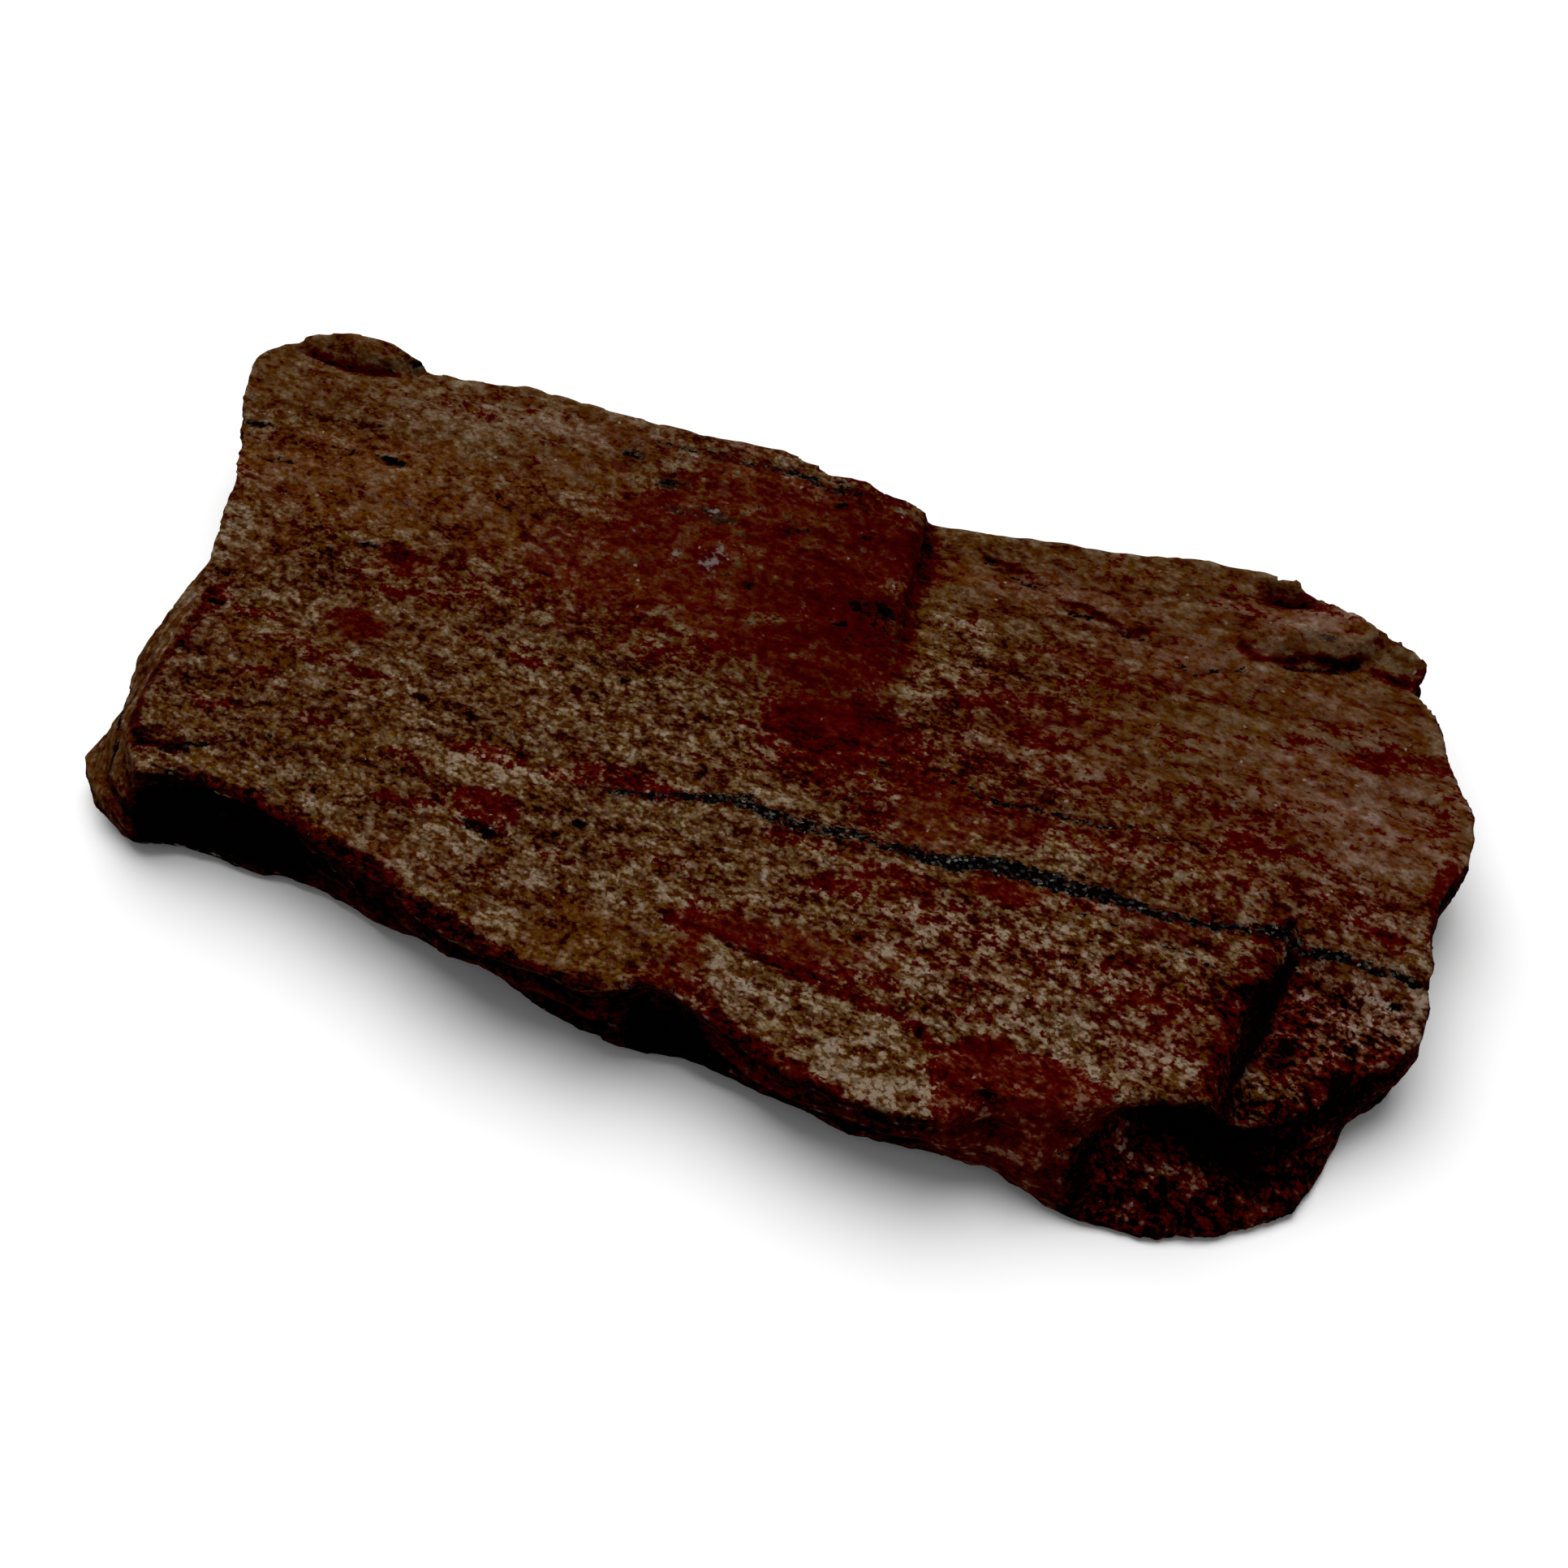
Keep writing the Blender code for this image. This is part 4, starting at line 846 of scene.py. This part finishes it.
def notch_shade(stone, toe):
    """Painted shade: how black the front notches and the recess behind the toe are, where shade falls."""
    rim_place = stone.points[:, Y] + 0.10 * (stone.points[:, X] - 36.0) + 0.9 * stone.drift
    rim_gap = soft_step(-20.9, -19.3, rim_place)
    left_gap = soft_step(33.4, 32.2, stone.points[:, X] + 0.7 * stone.sway)
    recess = toe * np.maximum(rim_gap, left_gap) * stone.zone(TOE_LEFT_PART)
    notch = np.maximum(stone.zone(LEFT_NOTCH), stone.zone(MIDDLE_NOTCH))
    notch *= np.maximum(stone.front, stone.zone(NOTCH_DEPTH)) * stone.zone(FRONT)
    notch *= 1.0 - NOTCH_MOTTLING * soft_step(4.6, 6.2, stone.points[:, Z] + 0.9 * stone.sway)
    return np.maximum(NOTCH_SHADE * notch, RECESS_SHADE * recess)


def shading(stone, shoulder, toe):
    """How much darker the front, the right end and the toe are than the rest."""
    shade = np.clip(stone.front + stone.right, 0.0, 1.0) * (1.0 - stone.facet)
    shade = np.maximum(shade * (1.0 - shoulder), TOE_SHADE * toe)
    return shade * (1.0 - LEFT_FOOT_LIGHT * stone.zone(LEFT_FOOT))


def mark_stone(data):
    """Stores where the stone is red, orange, ochre, pale, black, iron-grey and smooth, and where shade is
    painted on it.
    """
    stone = Surface(data)
    top, under, side, facet = stone.top, stone.under, stone.side, stone.facet
    red_end = stone.shape(RED_END, EDGE_WANDER, RED_END_EDGE)
    rust = stone.shape(RUST, RUST_WANDER, RUST_EDGE)
    lens = stone.shape(LENS, EDGE_WANDER, LENS_EDGE)
    shoulder = stone.shape(RED_SHOULDER, EDGE_WANDER, SHOULDER_EDGE)
    shoulder *= soft_step(0.8, 2.2, stone.points[:, Z] + 0.5 * stone.sway)
    toe = stone.zone(TOE)
    lobes = stone.zone(LEFT_LOBES)
    shade = shading(stone, shoulder, toe)
    line_red, line_dark = red_line_strength(*stone.wandered(EDGE_WANDER))

    red = highest(stone.ovals(DEEP_RED), RED_END_RED * red_end, RUST_RED * rust)
    red = highest(red * (1.0 - lens) + LENS_RED * lens, line_red, toe, SHOULDER_RED * shoulder)
    flank = side * np.maximum(SIDE_RED, shade) * (1.0 - np.maximum(facet, lobes)) * (1.0 - shoulder)
    broad_bands = layered_noise(bedding(stone.points) * (0.04, 0.11, 0.5), seed=71)
    orange = np.maximum(stone.ovals(ORANGE), RUST_ORANGE * rust) * (1.0 - lens)
    light = np.maximum(stone.ovals(PALE), LENS_PALE * lens) - stone.ovals(DUSKY) - line_dark
    light += RED_END_PALE * RED_END_RED * red_end
    spots = highest(
        stone.ovals(BLACK), crack_strength(*stone.wandered(CRACK_WANDER)),
        RED_SPOTS * np.maximum(rust, shoulder), line_strength(*stone.wandered(GAP_WANDER), BLACK_LINES),
    )
    # Painted glints: white specks along the bottom edge of the left foot
    foot_glints = stone.zone(WHITE_SPECKS) * stone.zone(FRONT) * (1.0 - top)
    quartz = strongest(*stone.wandered(EDGE_WANDER), QUARTZ)
    iron_x, iron_y = stone.wandered(IRON_WANDER)
    iron_y = iron_y + IRON_RAGGEDNESS * cell_noise(stone.points * 1.4, seed=82)

    shown = np.maximum(top, shoulder)
    paint(data, "red", shown * red + under * (UNDER_RED + UNDER_BANDS * broad_bands) + flank)
    paint(data, "orange", shown * orange + (1.0 - top) * SIDE_ORANGE)
    paint(data, "ochre", top * stone.ovals(OCHRE))
    paint(data, "gold", np.maximum(top * stone.ovals(GOLD), LOBE_GOLD * lobes))
    paint(data, "pink", top * stone.ovals(PINK) + side * SIDE_PINK)
    paint(data, "pale", top * light + under * UNDER_PALE + SHOULDER_PALE * shoulder)
    # Black spots and seams of the top, and painted shade in the front notches and the recess behind the toe
    paint(data, "black_and_shade", np.maximum(np.maximum(top, facet) * spots * (1.0 - toe), notch_shade(stone, toe)))
    paint(data, "blue", top * stone.ovals(BLUE_GREY))
    # Quartz of the top, and the painted glints along the left foot in the quartz tone
    paint(data, "quartz", np.maximum(top * quartz, FOOT_GLINT_STRENGTH * foot_glints))
    paint(data, "iron", top * line_strength(iron_x, iron_y, IRON_LINES))
    paint(data, "smooth", smoothness(stone, rust, toe))
    paint(data, "side", side)
    paint(data, "shade", shade)
    # Painted shade in hollows and painted light on ridges
    paint(data, "hollow_shade", stone.hollow_shade)
    paint(data, "facet", facet)


class Graph:
    """Short calls to build a material's nodes, and the values in it that have a name."""

    def __init__(self, material):
        material.use_nodes = True
        self.tree = material.node_tree
        self.shader = self.tree.nodes["Principled BSDF"]
        self.named = {}

    def put(self, socket, value):
        """Links a socket to another, or sets it to a value."""
        if isinstance(value, bpy.types.NodeSocket):
            self.tree.links.new(value, socket)
        else:
            socket.default_value = value

    def node(self, kind, inputs, **settings):
        """A node of a kind, with its settings and what its inputs are given."""
        node = self.tree.nodes.new("ShaderNode" + kind)
        for name, value in settings.items():
            setattr(node, name, value)
        for socket, value in inputs.items():
            self.put(node.inputs[socket], value)
        return node

    def math(self, operation, first, second=0.0):
        """One step of arithmetic."""
        return self.node("Math", {0: first, 1: second}, operation=operation).outputs[0]

    def times(self, first, second):
        """Product of two values."""
        return self.math("MULTIPLY", first, second)

    def blend(self, weights, start=0.0):
        """A number plus the named values, each times its weight."""
        total = start
        for name, weight in weights.items():
            total = self.math("ADD", total, self.times(self.named[name], weight))
        return total

    def share(self, weights, edges):
        """How far a sum of named values is through a smooth step."""
        return self.step(self.blend(weights), *edges)

    def field(self, name):
        """A number stored on the mesh."""
        return self.node("Attribute", {}, attribute_name=name).outputs["Fac"]

    def mapped(self, vector, per_mm, degrees=0.0):
        """Coordinates turned about Z, then scaled by so many units for each millimetre."""
        turn = {"Vector": vector, "Rotation": (0.0, 0.0, math.radians(degrees))}
        turned = self.node("Mapping", turn, vector_type="POINT").outputs[0]
        scale = tuple(count / MM for count in per_mm)
        return self.node("VectorMath", {0: turned, 1: scale}, operation="MULTIPLY").outputs[0]

    def noise(self, vector, detail, roughness, distortion):
        """Noise around zero, between about -0.5 and 0.5."""
        inputs = {"Detail": detail, "Roughness": roughness, "Distortion": distortion}
        node = self.node("TexNoise", {"Scale": 1.0, "Vector": vector, **inputs})
        return self.math("SUBTRACT", node.outputs["Fac"], 0.5)

    def cells(self, vector):
        """Grains: three random numbers for each, and the distance from its middle."""
        node = self.node("TexVoronoi", {"Scale": 1.0, "Vector": vector})
        split = self.node("SeparateColor", {0: node.outputs["Color"]})
        return split.outputs, node.outputs["Distance"]

    def swayed(self, vector, amount):
        """Coordinates pushed about by a noise of their own."""
        node = self.node("TexNoise", {"Scale": SWAY_SCALE, "Detail": 1.0, "Vector": vector})
        push = {0: node.outputs["Color"], 1: (amount, amount, amount), 2: vector}
        return self.node("VectorMath", push, operation="MULTIPLY_ADD").outputs[0]

    def step(self, value, low, high):
        """A smooth step from 0 at low to 1 at high."""
        inputs = {"From Min": low, "From Max": high, "Value": value}
        return self.node("MapRange", inputs, interpolation_type="SMOOTHSTEP").outputs["Result"]

    def ramp(self, value, tones):
        """Colour of a value along a list of tones."""
        node = self.node("ValToRGB", {"Fac": value})
        stops = node.color_ramp.elements
        while len(stops) < len(tones):
            stops.new(0.5)
        for stop, (place, screen) in zip(stops, tones):
            stop.position = place
            stop.color = tone(screen)
        return node.outputs["Color"]

    def shifted(self, colour, hue, vividness):
        """A colour turned in hue (0.5 leaves it) and made more or less vivid (1 leaves it)."""
        inputs = {"Color": colour, "Hue": hue, "Saturation": vividness}
        return self.node("HueSaturation", inputs).outputs["Color"]

    def mix(self, share, first, second):
        """From the first colour to the second."""
        return self.node("Mix", {"Factor": share, 6: first, 7: second}, data_type="RGBA").outputs[2]


def name_patterns(graph, place):
    """Names the stored fields, the noises and the grains of the stone."""
    named = graph.named
    for name in FIELDS:
        named[name] = graph.field(name)
    for name, (per_mm, degrees, detail, roughness, distortion) in NOISES.items():
        named[name] = graph.noise(graph.mapped(place, per_mm, degrees), detail, roughness, distortion)
    grain_place = graph.mapped(place, GRAINS_PER_MM, GRAIN_DEGREES)
    grain, distance = graph.cells(graph.swayed(grain_place, GRAIN_SWAY))
    for name, number in zip(("grain_tone", "grain_hue", "grain_dust"), grain):
        named[name] = graph.math("SUBTRACT", number, 0.5)
    named["seam"] = graph.step(distance, *SEAM_EDGES)
    named["crumb"] = graph.share(*CRUMB)
    named["blotch"] = graph.share(*BLOTCH)


def name_tone(graph):
    """Names how light the stone is, and what the zones of its colours follow."""
    named = graph.named
    named["contrast"] = graph.blend(*CONTRAST)
    named["speckle"] = graph.times(graph.blend(SPECKLE), named["contrast"])
    named["sparkle"] = graph.times(graph.blend(SPARKLE), graph.blend(*FINE_CONTRAST))
    named["layers"] = graph.times(named["side"], named["strata"])
    named["facet_streaks"] = graph.times(named["facet"], named["facet_lines"])
    lines = graph.step(graph.math("ABSOLUTE", named["streak"]), *LINE_EDGES)
    named["lines"] = graph.times(lines, graph.share(*LINE_BREAKS))
    named["value"] = graph.blend(*VALUE)
    named["zoning"] = graph.blend(ZONING)


def stone_tones(graph):
    """The stone's tones from khaki to red, laid over one another zone by zone."""
    value = graph.named["value"]
    colour = graph.ramp(value, KHAKI_TONES)
    for tones, weights, edges in TONE_LAYERS:
        colour = graph.mix(graph.share(weights, edges), colour, graph.ramp(value, tones))
    colour = graph.shifted(colour, graph.blend(*HUE), graph.blend(*VIVIDNESS))
    return graph.mix(graph.share(*REDNESS), colour, graph.ramp(graph.blend(*RED_VALUE), RED_TONES))


def with_minerals_and_painted_light(graph, place, colour):
    """Iron ore, quartz and black seams laid over the stone's tones, with painted shade in the notches and
    the recess, and painted glints.
    """
    named = graph.named
    iron_grain, _ = graph.cells(graph.mapped(place, IRON_GRAINS_PER_MM, -STREAK_DEGREES))
    iron_colour = graph.ramp(iron_grain[0], IRON_TONES)
    share = graph.times(graph.share(*BLUENESS), graph.step(named["blue"], *BLUE_REACH))
    colour = graph.mix(graph.times(share, BLUE_STRENGTH), colour, iron_colour)
    share = graph.times(graph.share(*QUARTZ_SHARE), QUARTZ_STRENGTH)
    colour = graph.mix(share, colour, tone(QUARTZ_TONE))
    colour = graph.mix(graph.share(*BLACKNESS), colour, tone(BLACK_AND_SHADE_TONE))
    named["iron_share"] = graph.times(graph.share(*IRON_SHARE), graph.step(named["iron"], *IRON_REACH))
    colour = graph.mix(named["iron_share"], colour, iron_colour)
    # Painted glints: rare bright specks on the lighter grains of the top, standing in for highlights
    glint, _ = graph.cells(graph.mapped(place, GLINTS_PER_MM))
    glints = graph.times(graph.step(glint[0], *GLINT_EDGES), graph.math("SUBTRACT", 1.0, named["side"]))
    glints = graph.times(glints, graph.step(named["value"], *GLINT_LIGHT))
    return graph.mix(graph.times(glints, GLINT_STRENGTH), colour, tone(GLINT_TONE))


def stone_material():
    """Banded, speckled red jasper."""
    material = bpy.data.materials.new("banded_red_jasper")
    graph = Graph(material)
    place = graph.node("TexCoord", {}).outputs["Object"]
    name_patterns(graph, place)
    name_tone(graph)
    sockets = graph.shader.inputs
    graph.put(sockets["Base Color"], with_minerals_and_painted_light(graph, place, stone_tones(graph)))
    graph.put(sockets["Specular IOR Level"], STONE_SHINE)
    graph.put(sockets["Roughness"], graph.blend(*STONE_ROUGHNESS))
    height = graph.times(graph.blend(BUMP_HEIGHT), graph.named["contrast"])
    bump = {"Strength": BUMP_STRENGTH, "Distance": BUMP_DISTANCE * MM, "Height": height}
    graph.put(sockets["Normal"], graph.node("Bump", bump).outputs["Normal"])
    return material


def make_stone():
    """The stone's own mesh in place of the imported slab."""
    stone = fine_copy(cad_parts["jasper_slab"])
    data = stone.data
    set_points(data, eased(vertex_points(data), edge_ends(data), EASING_PASSES))
    points = vertex_points(data)
    normals = vertex_normals(data)
    points = points + normals * surface_relief(points, normals)[:, None]
    set_points(data, keep_inside(points, *cad_box))
    mark_stone(data)
    data.materials.append(stone_material())
    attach(stone, "root")
    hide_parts("jasper_slab")
    return stone


def make_floor():
    """A plain pale floor."""
    bpy.ops.mesh.primitive_plane_add(size=FLOOR_SIDE, location=(0.0, 0.0, 0.0))
    floor = bpy.context.object
    floor.name = "floor"
    material = bpy.data.materials.new("pale_floor")
    material.use_nodes = True
    shader = material.node_tree.nodes["Principled BSDF"]
    shader.inputs["Base Color"].default_value = (FLOOR_GREY, FLOOR_GREY, FLOOR_GREY, 1.0)
    shader.inputs["Roughness"].default_value = FLOOR_ROUGHNESS
    shader.inputs["Specular IOR Level"].default_value = FLOOR_SHINE
    floor.data.materials.append(material)


def make_lamp():
    """One wide soft lamp above, a little behind and to the left of the stone."""
    data = bpy.data.lights.new("key", "SUN")
    data.energy = KEY_STRENGTH
    data.angle = math.radians(KEY_SPREAD)
    lamp = bpy.data.objects.new("key", data)
    lamp.rotation_euler = Vector(KEY_WAY).to_track_quat("Z", "Y").to_euler()
    bpy.context.scene.collection.objects.link(lamp)


def make_sky():
    """Even white light from all round."""
    world = bpy.data.worlds.new("sky")
    world.use_nodes = True
    background = world.node_tree.nodes["Background"]
    background.inputs["Color"].default_value = (1.0, 1.0, 1.0, 1.0)
    background.inputs["Strength"].default_value = SKY_STRENGTH
    bpy.context.scene.world = world


def make_camera():
    """The camera at the photograph's angle."""
    azimuth = math.radians(CAMERA_AZIMUTH)
    elevation = math.radians(CAMERA_ELEVATION)
    away = Vector((
        math.sin(azimuth) * math.cos(elevation),
        -math.cos(azimuth) * math.cos(elevation),
        math.sin(elevation),
    ))
    data = bpy.data.cameras.new("camera")
    data.lens = CAMERA_LENS
    data.sensor_width = CAMERA_SENSOR
    data.clip_start = NEAREST_SEEN
    camera = bpy.data.objects.new("camera", data)
    camera.location = Vector(CAMERA_AIM) + away * CAMERA_DISTANCE
    camera.rotation_euler = away.to_track_quat("Z", "Y").to_euler()
    bpy.context.scene.collection.objects.link(camera)
    bpy.context.scene.camera = camera


make_camera()
make_stone()
make_floor()
make_lamp()
make_sky()
bpy.context.scene.view_settings.view_transform = "Standard"
